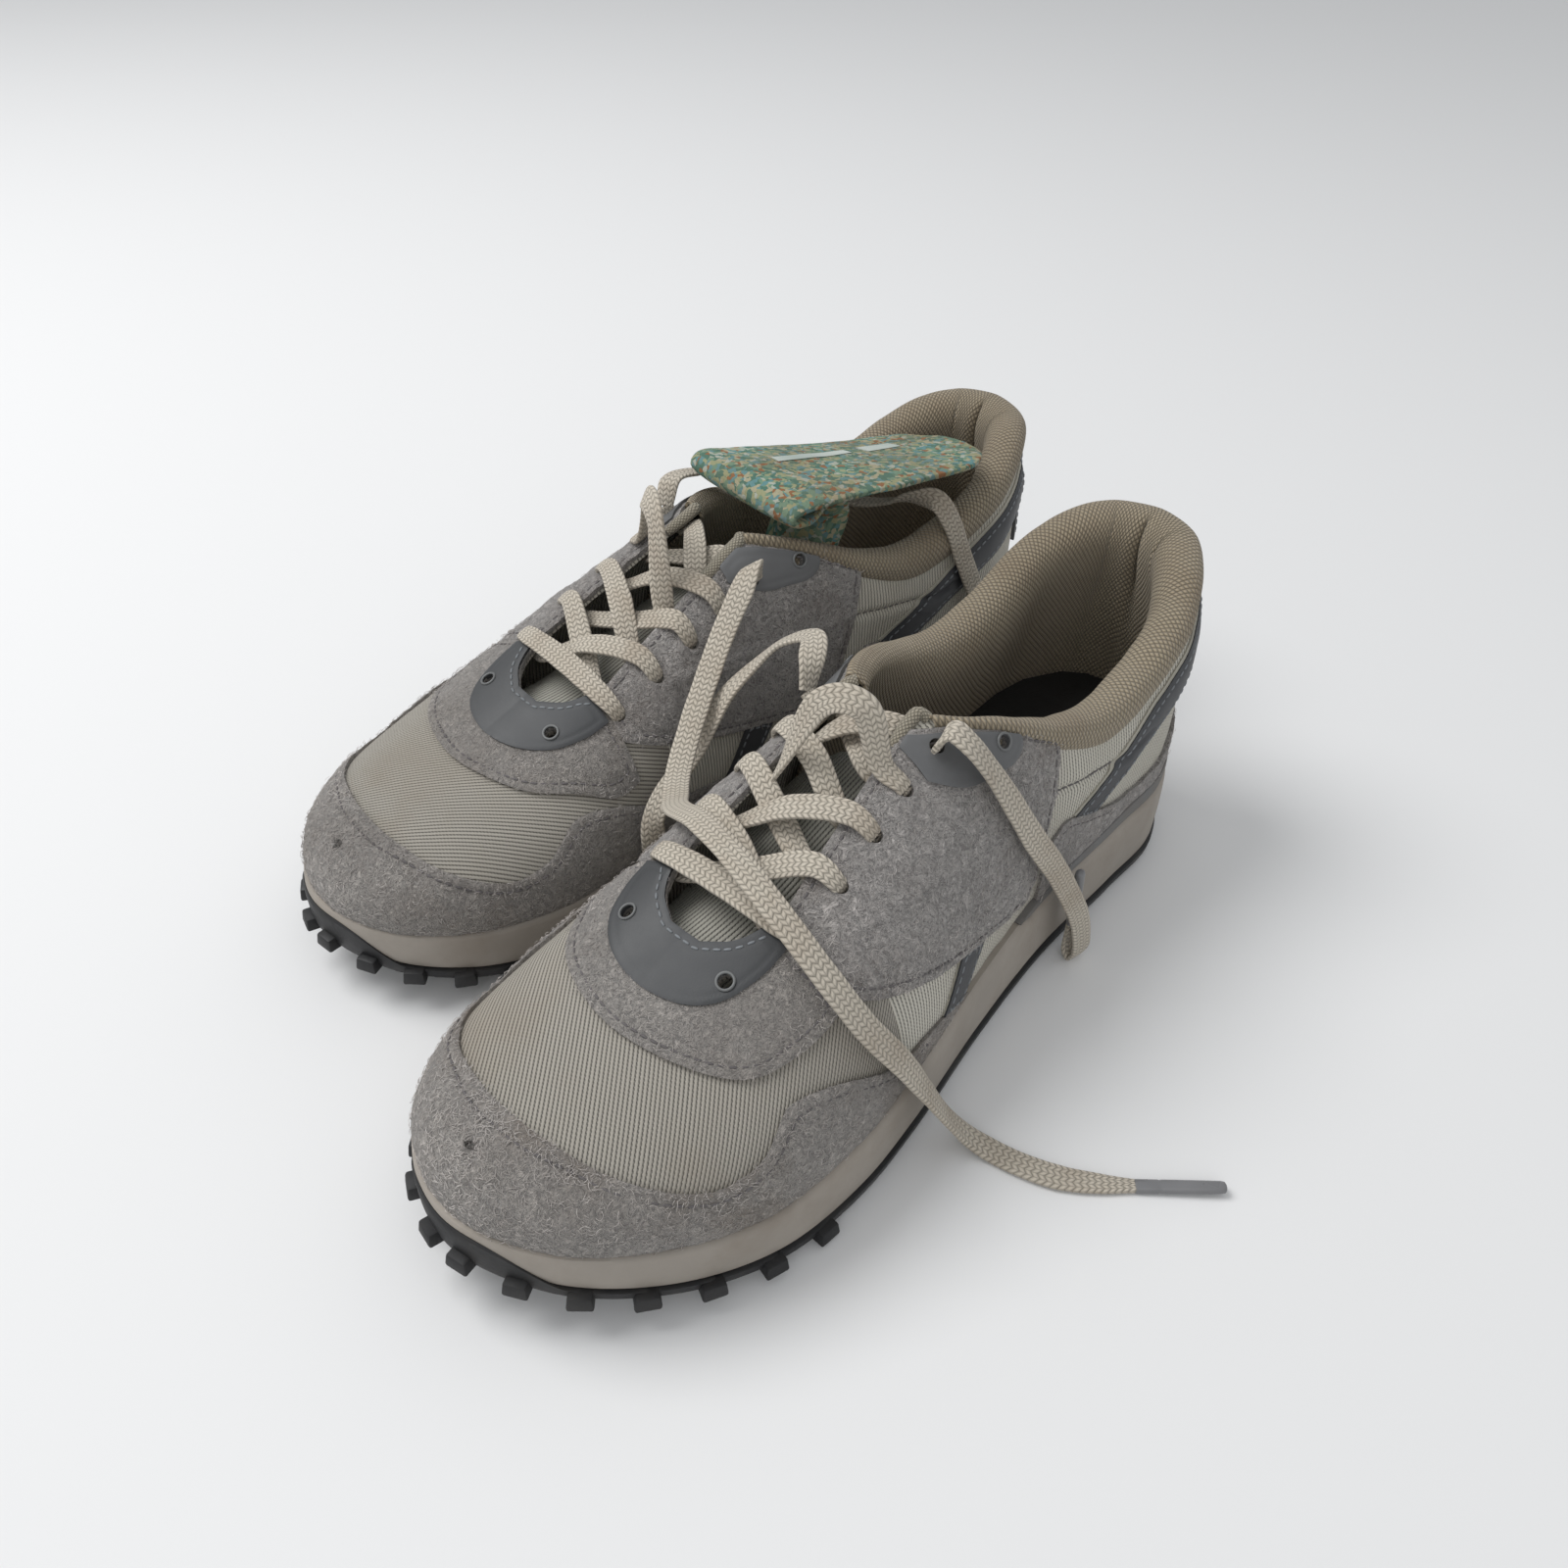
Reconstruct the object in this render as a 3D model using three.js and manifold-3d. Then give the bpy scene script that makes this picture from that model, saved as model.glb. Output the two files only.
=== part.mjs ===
// A pair of low-cut lace-up running shoes. Each shoe is built in its own frame: heel at the origin,
// toe towards -Y, outer (lateral) side towards +X, ground at z = 0. The right shoe is the mirror image.
// Lengths are millimetres.
import * as THREE from 'three';
import { mergeVertices } from 'three/addons/utils/BufferGeometryUtils.js';
import Module from 'manifold-3d';

const wasm = await Module();
wasm.setup();

// Overall sizes of one shoe
const SHOE_LENGTH = 292;
const BALL_WIDTH = 103.5;
const HEEL_HEIGHT = 100;

// Sole unit
const HEEL_STACK = 37;
const BALL_STACK = 22;
const TOE_RISE = 6;
const TOE_SPRING = 13;
const OUTSOLE_THICKNESS = 5;
const WEDGE_THICKNESS = 8;
const WEDGE_THIN_END = 3;
const WEDGE_LENGTH = 112;
const LUG_SIZE = { along: 7, out: 2.4, tall: 4 };
const LUGS_PER_SIDE = 7;

// Material thicknesses
const GAP = 0.3;
const TEXTILE = 2;
const SUEDE = 1.3;
const SYNTHETIC = 0.9;
const COUNTER = 1.5;
const PADDING = 7;
const BOARD = 1.5;
const INSOLE = 4;
const TONGUE = 4;

// Insets from the sole's edge
const UPPER_INSET = 6;
const MIDSOLE_INSET = 1;
const BOARD_INSET = 8;
const INSOLE_INSET = 11;

// Lacing
const EYELET_RADIUS = 3;
const LACE_RADIUS = 1.75;
const AGLET_RADIUS = 1.9;
const AGLET_LENGTH = 22;

// Where the right shoe stands beside the left: how far its ball nests into the left shoe's waist,
// how far back it stands and how far it is turned
const PAIR_NEST = 14.5;
const RIGHT_SHOE = { y: 36, yaw: -6.8 };

// Grading: the pattern below is drawn for 292 x 103.5 x 100 mm and scales with the overall sizes
const along = SHOE_LENGTH / 292;
const across = BALL_WIDTH / 103.5;
const upright = HEEL_HEIGHT / 100;

// Stations from heel to toe: sole edge y, outer x, inner x
const EDGE = [
  [0, 0, 0], [-6, 20, -21], [-30, 35, -36], [-60, 37, -37], [-100, 38, -38], [-140, 43, -41],
  [-180, 50, -47], [-205, 52.5, -51], [-235, 50, -52], [-262, 38, -46], [-282, 19, -31], [-291, -6, -6],
];
// The same stations: ridge x, y, z of the foot form
const RIDGE = [
  [-1, -10, 128], [-2, -14, 130], [-5, -34, 134], [-7, -62, 133], [-6, -98, 117], [-4, -136, 100],
  [-4, -172, 81], [-4, -198, 67], [-4, -229, 53], [-5, -257, 46], [-6, -273, 41.5], [-6, -280, 38],
];
// The same stations: wall height share, crown width share, outward bulge
const FULLNESS = [
  [0.5, 0.75, 2], [0.5, 0.75, 2], [0.55, 0.75, 2], [0.55, 0.72, 2], [0.5, 0.66, 2.5], [0.45, 0.62, 3],
  [0.5, 0.58, 3], [0.55, 0.56, 3], [0.62, 0.6, 3.5], [0.65, 0.6, 3.5], [0.65, 0.6, 3], [0.6, 0.6, 2],
];
const LAST_STATION = EDGE.length - 1;

// Height of the line where the upper meets the sole. The pattern's heights are drawn over its own stack,
// and rise with this line where the stack is made thicker.
const BALL_SHARE = 0.79;
const PATTERN_STACK = { heel: 37, ball: 22, toe: 6 };
function stackHeight(y, { heel, ball, toe }) {
  const f = THREE.MathUtils.clamp(-y / SHOE_LENGTH, 0, 1);
  const pastBall = Math.max(0, (f - BALL_SHARE) / (1 - BALL_SHARE));
  return heel - (heel - ball) * Math.min(f / BALL_SHARE, 1) + toe * pastBall ** 1.5;
}
const featherHeight = (y) => stackHeight(y, { heel: HEEL_STACK, ball: BALL_STACK, toe: TOE_RISE });
const raised = (y, z) => z * upright + featherHeight(y * along) - stackHeight(y * along, PATTERN_STACK);

const UP = 400;
const HALF = 200;
const U_STEPS = 18;
const T_STEPS = 6;

// ---------------------------------------------------------------- foot form

const edgeLoop = new THREE.CatmullRomCurve3([
  ...EDGE.map(([y, outer]) => new THREE.Vector3(outer * across, y * along, 0)),
  ...EDGE.slice(1, -1).reverse().map(([y, , inner]) => new THREE.Vector3(inner * across, y * along, 0)),
], true, 'centripetal');
const ridgeLine = new THREE.CatmullRomCurve3(
  RIDGE.map(([x, y, z]) => new THREE.Vector3(x * across, y * along, raised(y, z))));
const fullness = new THREE.CatmullRomCurve3(FULLNESS.map((f) => new THREE.Vector3(...f)));

// Point of the sole's edge at station u on one side, moved inwards
function edgePoint(u, side, inset) {
  const loopShare = (s) => (((side > 0 ? s : -s) / (2 * LAST_STATION)) % 1 + 1) % 1;
  const point = edgeLoop.getPoint(loopShare(u));
  const tangent = edgeLoop.getPoint(loopShare(u + 0.02)).sub(edgeLoop.getPoint(loopShare(u - 0.02)));
  const inward = new THREE.Vector3(tangent.y, -tangent.x, 0).normalize().multiplyScalar(side);
  return point.addScaledVector(inward, inset);
}

// Height of the sole's underside
const SPRING_SHARE = 0.702;
function groundHeight(y) {
  const f = THREE.MathUtils.clamp(-y / SHOE_LENGTH, 0, 1);
  return TOE_SPRING * Math.max(0, (f - SPRING_SHARE) / (1 - SPRING_SHARE)) ** 1.8;
}

// Point of the foot form: t runs from the feather line (0) to the ridge (1)
function formPoint(u, side, t) {
  const foot = edgePoint(u, side, UPPER_INSET);
  foot.z = featherHeight(foot.y);
  const ridge = ridgeLine.getPoint(u / LAST_STATION);
  const [wall, crown, bulge] = fullness.getPoint(u / LAST_STATION).toArray();
  const outward = foot.clone().sub(edgePoint(u, side, UPPER_INSET + 1)).setZ(0).normalize();
  const low = foot.clone().addScaledVector(outward, bulge);
  low.z += wall * (ridge.z - foot.z);
  const high = ridge.clone().lerp(foot, crown);
  high.z = ridge.z;
  return new THREE.CubicBezierCurve3(foot, low, high, ridge).getPoint(t);
}

function formNormal(u, side, t) {
  const step = 0.01;
  const du = formPoint(Math.min(u + step, LAST_STATION), side, t)
    .sub(formPoint(Math.max(u - step, 0), side, t));
  const dt = formPoint(u, side, Math.min(t + step, 1)).sub(formPoint(u, side, Math.max(t - step, 0)));
  return du.cross(dt).multiplyScalar(-side).normalize();
}

// Point lifted off the form along its normal; the seam lines use the mean of both sides
function offsetPoint(u, side, t, lift) {
  const normal = formNormal(u, side, t);
  if (t === 1 || u === 0 || u === LAST_STATION) normal.add(formNormal(u, -side, t)).normalize();
  if (t === 0) normal.setZ(0).normalize();
  return formPoint(u, side, t).addScaledVector(normal, lift);
}

// Surface point and normal above a plan position
function findOnForm(x, y) {
  const side = x * across > ridgeXAt(y) ? 1 : -1;
  let best = { u: 5, t: 0.8, miss: Infinity };
  let [uReach, tReach] = [5, 0.2];
  for (let round = 0; round < 7; round += 1) {
    const centre = { ...best };
    for (let i = -6; i <= 6; i += 1) {
      for (let j = -6; j <= 6; j += 1) {
        const u = THREE.MathUtils.clamp(centre.u + (i / 6) * uReach, 1, LAST_STATION - 1);
        const t = THREE.MathUtils.clamp(centre.t + (j / 6) * tReach, 0.3, 0.99);
        const p = formPoint(u, side, t);
        const miss = Math.hypot(p.x - x * across, p.y - y * along);
        if (miss < best.miss) best = { u, t, miss };
      }
    }
    uReach /= 3;
    tReach /= 3;
  }
  return { point: formPoint(best.u, side, best.t), normal: formNormal(best.u, side, best.t), side };
}
function ridgeXAt(y) {
  return y < -20 ? THROAT_X * across : 0;
}

// ---------------------------------------------------------------- solids

function toManifold(geometry) {
  const bare = geometry.clone();
  bare.deleteAttribute('normal');
  bare.deleteAttribute('uv');
  const merged = mergeVertices(bare, 1e-4);
  return new wasm.Manifold(new wasm.Mesh({
    numProp: 3,
    vertProperties: new Float32Array(merged.attributes.position.array),
    triVerts: new Uint32Array(merged.index.array),
  }));
}

function toGeometry(manifold) {
  const { vertProperties, triVerts } = manifold.getMesh();
  const geometry = new THREE.BufferGeometry();
  geometry.setAttribute('position', new THREE.BufferAttribute(vertProperties, 3));
  geometry.setIndex(new THREE.BufferAttribute(triVerts, 1));
  return geometry;
}

function meshFrom(points, faces) {
  const geometry = new THREE.BufferGeometry();
  geometry.setAttribute('position', new THREE.Float32BufferAttribute(points.flatMap((p) => p.toArray()), 3));
  geometry.setIndex(faces.filter(([a, b, c]) => {
    const [p, q, r] = [points[a], points[b], points[c]];
    return p.distanceTo(q) > 1e-3 && q.distanceTo(r) > 1e-3 && r.distanceTo(p) > 1e-3;
  }).flat());
  return geometry;
}

// Closed surface through rows of equally many points; each row is a closed loop, ends capped by fans
function ringSolid(rings) {
  const count = rings[0].length;
  const points = rings.flat();
  const faces = [];
  for (let i = 0; i + 1 < rings.length; i += 1) {
    for (let j = 0; j < count; j += 1) {
      const [a, b] = [i * count + j, i * count + ((j + 1) % count)];
      faces.push([a, b, b + count], [a, b + count, a + count]);
    }
  }
  const last = (rings.length - 1) * count;
  for (let j = 1; j + 1 < count; j += 1) {
    faces.push([0, j + 1, j], [last, last + j, last + j + 1]);
  }
  return meshFrom(points, faces);
}

// Solid filling the form out to a lift, with its foot carried down past the feather line
function formSolid(lift, drop) {
  const rows = [];
  for (let i = 0; i <= U_STEPS; i += 1) {
    const u = (i / U_STEPS) * LAST_STATION;
    const row = [];
    for (const side of [-1, 1]) {
      const half = [];
      for (let j = 0; j <= T_STEPS; j += 1) half.push(offsetPoint(u, side, j / T_STEPS, lift));
      half.unshift(half[0].clone().setZ(half[0].z - drop));
      if (side > 0) half.reverse().shift();
      row.push(...half);
    }
    rows.push(row);
  }
  return toManifold(closedRows(rows));
}

// Rows whose first and last row fold flat onto their own centre line
function closedRows(rows) {
  const count = rows[0].length;
  const faces = [];
  for (let i = 0; i + 1 < rows.length; i += 1) {
    for (let j = 0; j < count; j += 1) {
      const [a, b] = [i * count + j, i * count + ((j + 1) % count)];
      faces.push([a, b + count, b], [a, a + count, b + count]);
    }
  }
  return meshFrom(rows.flat(), faces);
}

function layer(low, high) {
  return formSolid(high, 10).subtract(formSolid(low, 14)).subtract(solePad);
}

// Prism of a side-view outline [y, z], across x
function sidePrism(outline, fromX, toX) {
  const shape = new THREE.Shape(outline.map(([y, z]) => new THREE.Vector2(y * along, z)));
  const geometry = new THREE.ExtrudeGeometry(shape, { depth: toX - fromX, bevelEnabled: false });
  geometry.applyMatrix4(new THREE.Matrix4().set(0, 0, 1, fromX, 1, 0, 0, 0, 0, 1, 0, 0, 0, 0, 0, 1));
  return toManifold(geometry);
}

// Prism of a plan outline [x, y], standing tall
function planPrism(outline, fromZ = -10, toZ = 400) {
  const shape = new THREE.Shape(outline.map(([x, y]) => new THREE.Vector2(x * across, y * along)));
  const geometry = new THREE.ExtrudeGeometry(shape, { depth: toZ - fromZ, bevelEnabled: false });
  return toManifold(geometry.translate(0, 0, fromZ));
}

// Upright prism of the sole's outline
function solePrism(inset) {
  const ring = [];
  for (let i = 0; i < U_STEPS; i += 1) ring.push(edgePoint((i / U_STEPS) * LAST_STATION, 1, inset));
  for (let i = U_STEPS; i > 0; i -= 1) ring.push(edgePoint((i / U_STEPS) * LAST_STATION, -1, inset));
  const shape = new THREE.Shape(ring.map((p) => new THREE.Vector2(p.x, p.y)));
  const prism = new THREE.ExtrudeGeometry(shape, { depth: 200, bevelEnabled: false });
  return toManifold(prism.translate(0, 0, -50));
}

// Prism between two side-view lines that share their y values
function between(lowLine, highLine) {
  return sidePrism([...lowLine, ...[...highLine].reverse()], -HALF, HALF);
}
const FEATHER_SHARES = [-0.2, 0, BALL_SHARE, 0.86, 0.93, 1, 1.2];
const featherLine = (lift) => FEATHER_SHARES.map((f) => [-f * 292, featherHeight(-f * SHOE_LENGTH) + lift]);
const GROUND_SHARES = [-0.2, SPRING_SHARE, 0.78, 0.85, 0.92, 1, 1.2];
const groundLine = (lift) => GROUND_SHARES.map((f) => [-f * 292, groundHeight(-f * SHOE_LENGTH) + lift]);

const smoothLine = (points, steps) => new THREE.CatmullRomCurve3(
  points.map(([a, b]) => new THREE.Vector3(a, b, 0))).getPoints(steps).map((p) => [p.x, p.y]);

// Everything up to the foot of the upper
const solePad = sidePrism([...featherLine(GAP), [-400, -60], [60, -60]], -HALF, HALF);

// ---------------------------------------------------------------- cut lines

// Collar line in side view, from behind the heel to the top corner of the eyestay
const COLLAR_LINE = [
  [30, 104.5], [0, 103.5], [-18, 100.5], [-38, 90], [-58, 81], [-78, 78], [-97, 83], [-112, 90], [-124, 95],
  [-136, 98],
];
function aboveCollar(raise) {
  const line = smoothLine(COLLAR_LINE, 16).map(([y, z]) => [y, raised(y, z) + raise]);
  return sidePrism([...line, [-150, line.at(-1)[1]], [-150, UP], [30, UP]], -HALF, HALF);
}

// Throat opening in plan: y and half width, from the collar to its rounded toe end
const THROAT_X = -4;
const THROAT_LINE = [[-110, 10], [-141, 10], [-154, 11.5], [-180, 14.5], [-196, 16], [-206, 12], [-211, 5]];
const THROAT_TURN = -200;
function throat(margin) {
  const side = THROAT_LINE.map(([y, half]) => [half + margin, y < THROAT_TURN ? y - margin : y]);
  return planPrism([
    ...side.map(([half, y]) => [THROAT_X + half, y]),
    ...side.reverse().map(([half, y]) => [THROAT_X - half, y]),
  ]);
}
function throatHalf(y) {
  const k = THROAT_LINE.findIndex(([end]) => end <= y);
  const [[y0, h0], [y1, h1]] = [THROAT_LINE[k - 1], THROAT_LINE[k]];
  return h0 + ((h1 - h0) * (y - y0)) / (y1 - y0);
}

// Eyelets beside the throat, from the toe end; the last one is left empty
const EYELET_INSET = 8;
const EYELET_ROWS = [-196, -181, -167, -154, -141, -121];
const TIED_ROWS = 5;
const PATCH_HOLE = { y: -214, half: 16.5 };
const eyelet = (y, side) => findOnForm(THROAT_X + side * (throatHalf(y) + EYELET_INSET / across), y);
function hole(place) {
  const drill = new THREE.CylinderGeometry(EYELET_RADIUS, EYELET_RADIUS, 24, 6);
  drill.applyQuaternion(new THREE.Quaternion().setFromUnitVectors(new THREE.Vector3(0, 1, 0), place.normal));
  return toManifold(drill.translate(...place.point.toArray()));
}
const holes = [-1, 1].flatMap((side) => [
  ...EYELET_ROWS.map((y) => eyelet(y, side)),
  findOnForm(THROAT_X + side * PATCH_HOLE.half, PATCH_HOLE.y),
].map(hole));
const drilled = (solid) => holes.reduce((rest, drill) => rest.subtract(drill), solid);

// ---------------------------------------------------------------- upper

const BASE = [0, TEXTILE];
const OVERLAY = [TEXTILE + GAP, TEXTILE + GAP + SUEDE];
const TOP_PATCH = [OVERLAY[1] + GAP, OVERLAY[1] + GAP + SYNTHETIC];
const OPEN_EDGE = 1.6;

const baseLayer = drilled(layer(...BASE).subtract(aboveCollar(0)).subtract(throat(0)));
const overlayLayer = drilled(layer(...OVERLAY).subtract(aboveCollar(-OPEN_EDGE)).subtract(throat(OPEN_EDGE)));
const patchLayer = drilled(layer(...TOP_PATCH).subtract(aboveCollar(-2 * OPEN_EDGE))
  .subtract(throat(2 * OPEN_EDGE)));

// Regions of the pattern. The side regions are outlines [y, z]; z follows the upper's height.
const lifted = (outline) => outline.map(([y, z]) => [y, raised(y, z)]);
const VAMP_SEAM = -186;
const STAY_SEAM = -199;

const planBand = (fromY, toY) => planPrism([[-HALF, toY], [-HALF, fromY], [HALF, fromY], [HALF, toY]]);
const front = planBand(-400, VAMP_SEAM - GAP / 2);
const rear = planBand(VAMP_SEAM + GAP / 2, 50);
const sideHalf = (side) => planPrism([
  [side * (GAP / 2), 50], [side * (GAP / 2), -40], [THROAT_X + side * (GAP / 2), -60],
  [THROAT_X + side * (GAP / 2), -400], [side * HALF, -400], [side * HALF, 50]]);

const MUD_LINE = [
  [-330, 44], [-300, 43], [-284, 41], [-276, 43], [-264, 41], [-246, 36], [-234, 38], [-222, 45], [-208, 44],
  [-190, 37], [-168, 33], [-148, 27],
];
const mudRegion = (trim) => sidePrism(lifted([
  ...smoothLine(MUD_LINE, 20).map(([y, z]) => [y, z - trim]), [-148, -20], [-330, -20]]), -HALF, HALF);

const FOXING_LINE = [[-108, 47], [-97, 52], [-80, 46], [-60, 40], [-40, 41], [-20, 47], [0, 52], [30, 54]];
const foxingRegion = (trim) => sidePrism(lifted([
  ...smoothLine(FOXING_LINE, 10).map(([y, z]) => [y, z + trim]).reverse(),
  [-108 - trim, -20], [30, -20]]), -HALF, HALF);

const SADDLE_EDGE = [
  [STAY_SEAM, 58], [-155, 46], [-118, 36], [-110.5, 50], [-105, 66], [-101, 76], [-100, 86],
];
const saddleRegion = (trim) => sidePrism(lifted([
  [STAY_SEAM - trim, UP],
  ...SADDLE_EDGE.map(([y, z], i) => (i < 3 ? [y - trim, z - trim] : [y + trim, z])),
  [-104 + trim, UP]]), -HALF, HALF);

const STAY_LINE = [
  [-42, STAY_SEAM], [-40, -214], [-28, -231], [-5, -239], [18, -235], [31, -226], [35, -212], [36, STAY_SEAM],
];
const stayRegion = planPrism(smoothLine(STAY_LINE, 14));

const TAB_LENGTH = 15;
const TAB_LOW = 60;
const tabRegion = (trim) => sidePrism(lifted([
  [-TAB_LENGTH - trim, TAB_LOW - trim], [40, TAB_LOW - trim], [40, UP], [-TAB_LENGTH - trim, UP],
]), -HALF, HALF);

// Straight band in side view
function band([y0, z0], [y1, z1], width) {
  const reach = Math.hypot(y1 - y0, z1 - z0);
  const [ny, nz] = [(-(z1 - z0) / reach) * (width / 2), ((y1 - y0) / reach) * (width / 2)];
  return lifted([[y0 - ny, z0 - nz], [y1 - ny, z1 - nz], [y1 + ny, z1 + nz], [y0 + ny, z0 + nz]]);
}
const STRAP_WIDTH = 12;
const rearStrap = sidePrism(band([-96, 42], [-8, 88], STRAP_WIDTH), -HALF, HALF);
const frontStrap = sidePrism(band([-140, 56], [-158, 20], STRAP_WIDTH), -HALF, HALF);

const EYELET_PATCH = [[-147, 88], [-144, 99], [-132, 99], [-116, 93], [-109, 85], [-114, 80], [-132, 83]];
const patchRegion = sidePrism(lifted(smoothLine(EYELET_PATCH, 10)), -HALF, HALF);

const CRESCENT = [[-29, -200], [-27, -214], [-18, -224], [-5, -227.5], [8, -225], [17, -216], [19, -200]];
const crescentRegion = planPrism(smoothLine(CRESCENT, 10));

const firstBody = (solid) => solid.decompose().reduce((a, b) => (b.volume() > a.volume() ? b : a));

function upperPieces() {
  const pieces = {
    vamp: baseLayer.intersect(front),
    throat_stay: overlayLayer.intersect(stayRegion).subtract(mudRegion(-GAP)),
    mudguard: overlayLayer.intersect(mudRegion(0)).subtract(saddleRegion(GAP)),
    throat_patch: patchLayer.intersect(crescentRegion),
    heel_foxing: overlayLayer.intersect(foxingRegion(0)).subtract(saddleRegion(GAP)),
    heel_tab: overlayLayer.intersect(tabRegion(0)),
  };
  for (const [side, name] of [[1, 'lateral'], [-1, 'medial']]) {
    const half = sideHalf(side);
    pieces[`quarter_${name}`] = baseLayer.intersect(rear).intersect(half);
    pieces[`eyestay_${name}`] = overlayLayer.intersect(saddleRegion(-GAP)).intersect(half);
    pieces[`eyelet_patch_${name}`] = patchLayer.intersect(patchRegion).intersect(half);
    pieces[`heel_strap_${name}`] = overlayLayer.intersect(rearStrap).intersect(half)
      .subtract(foxingRegion(GAP)).subtract(tabRegion(GAP)).subtract(saddleRegion(GAP));
    pieces[`front_strap_${name}`] = overlayLayer.intersect(frontStrap).intersect(half)
      .subtract(mudRegion(-GAP)).subtract(saddleRegion(GAP));
  }
  return Object.fromEntries(Object.entries(pieces).map(([name, solid]) => [name, firstBody(solid)]));
}

// ---------------------------------------------------------------- inside

const COUNTER_TOP = 64;
const COUNTER_FRONT = -72;
const behind = (y) => planBand(y, 60);
const COLLAR_FRONT = -122;
const COLLAR_RISE = 2.5;

function insidePieces() {
  const counterLow = -GAP - COUNTER;
  const counter = layer(counterLow, -GAP).intersect(behind(COUNTER_FRONT))
    .subtract(sidePrism(lifted([[-400, COUNTER_TOP], [60, COUNTER_TOP], [60, UP], [-400, UP]]), -HALF, HALF));
  const padding = formSolid(-GAP, 14).subtract(formSolid(-PADDING, 18)).subtract(solePad)
    .intersect(behind(COLLAR_FRONT)).subtract(aboveCollar(COLLAR_RISE))
    .subtract(formSolid(40, 14).subtract(formSolid(counterLow - GAP, 18)).intersect(
      sidePrism(lifted([[COUNTER_FRONT - 3, -50], [60, -50], [60, COUNTER_TOP + GAP],
        [COUNTER_FRONT - 3, COUNTER_TOP + GAP]]), -HALF, HALF)));
  const board = solePrism(BOARD_INSET).intersect(between(featherLine(GAP), featherLine(GAP + BOARD)));
  const clearFloor = between(featherLine(-5), featherLine(BOARD + INSOLE + 3 * GAP));
  return {
    heel_counter: firstBody(counter),
    collar_padding: firstBody(padding.subtract(clearFloor)),
    lasting_board: board,
  };
}

function flatInsole() {
  const low = 2 * GAP + BOARD;
  return solePrism(INSOLE_INSET).intersect(between(featherLine(low), featherLine(low + INSOLE)));
}

// Strip of foam or cloth along a side-view path [y, z, half width, curl in degrees, sideways slope]
function strip(path, centreX, thickness, columns = 6) {
  const spine = path.map(([y, z]) => new THREE.Vector3(0, y * along, raised(y, z)));
  const rings = path.map(([, , half, curl, slope = 0], i) => {
    const ahead = spine[Math.min(i + 1, spine.length - 1)];
    const back = spine[Math.max(i - 1, 0)];
    const tangent = ahead.clone().sub(back).normalize();
    const normal = new THREE.Vector3(0, -tangent.z, tangent.y);
    const angle = THREE.MathUtils.degToRad(curl || 0.01);
    const radius = (half * across) / angle;
    const place = (share, lift) => {
      const turn = share * angle;
      const rise = radius * (1 - Math.cos(turn)) + lift * Math.cos(turn);
      const p = spine[i].clone().addScaledVector(normal, rise);
      const aside = radius * Math.sin(turn) - lift * Math.sin(turn);
      p.x = centreX(i) * across + aside;
      p.z += slope * aside;
      return p;
    };
    const shares = Array.from({ length: columns + 1 }, (_, k) => -1 + (2 * k) / columns);
    const under = shares.map((share) => place(share, -thickness / 2));
    const over = shares.map((share) => place(share, thickness / 2));
    return [...under, ...over.reverse()];
  });
  const solid = toManifold(ringSolid(rings));
  return solid.volume() < 0 ? toManifold(ringSolid(rings.map((r) => r.reverse()))) : solid;
}

const TONGUE_PATH = [
  [-217, 55.6, 14, -20], [-208, 56.5, 18, -30], [-198, 57.6, 21, -40], [-185, 61, 23, -45],
  [-171, 66, 23, -45], [-157, 71, 22.5, -45], [-147, 74.5, 20, -45], [-141, 76.5, 14, -40],
];
const PULLED_INSOLE_PATH = [
  [-266, 35.5, 10, 0], [-260, 35, 20, 0], [-246, 34, 31, 0], [-228, 34, 34, 0], [-208, 35.5, 32, 0],
  [-188, 39, 29, -10], [-168, 46, 26, -30], [-150, 53, 25, -50], [-136, 60.5, 22, -80], [-124, 69, 20, -95],
  [-114, 79, 20, -95], [-109, 89, 20, -90], [-109, 97, 22, -60], [-116, 102, 23.5, -25],
  [-124, 104.8, 25, 0], [-129.5, 106.3, 25.5, 0], [-131, 108.6, 25.5, 0], [-128.5, 110.6, 26, 0],
  [-118, 110, 26, 0, -0.03], [-98, 107, 27, 0, -0.1], [-78, 104, 28, 0, -0.17], [-58, 101.5, 27, 0, -0.2],
  [-45, 101, 20, 0, -0.2], [-40, 101, 9, 0, -0.2],
];

// ---------------------------------------------------------------- sole

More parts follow.
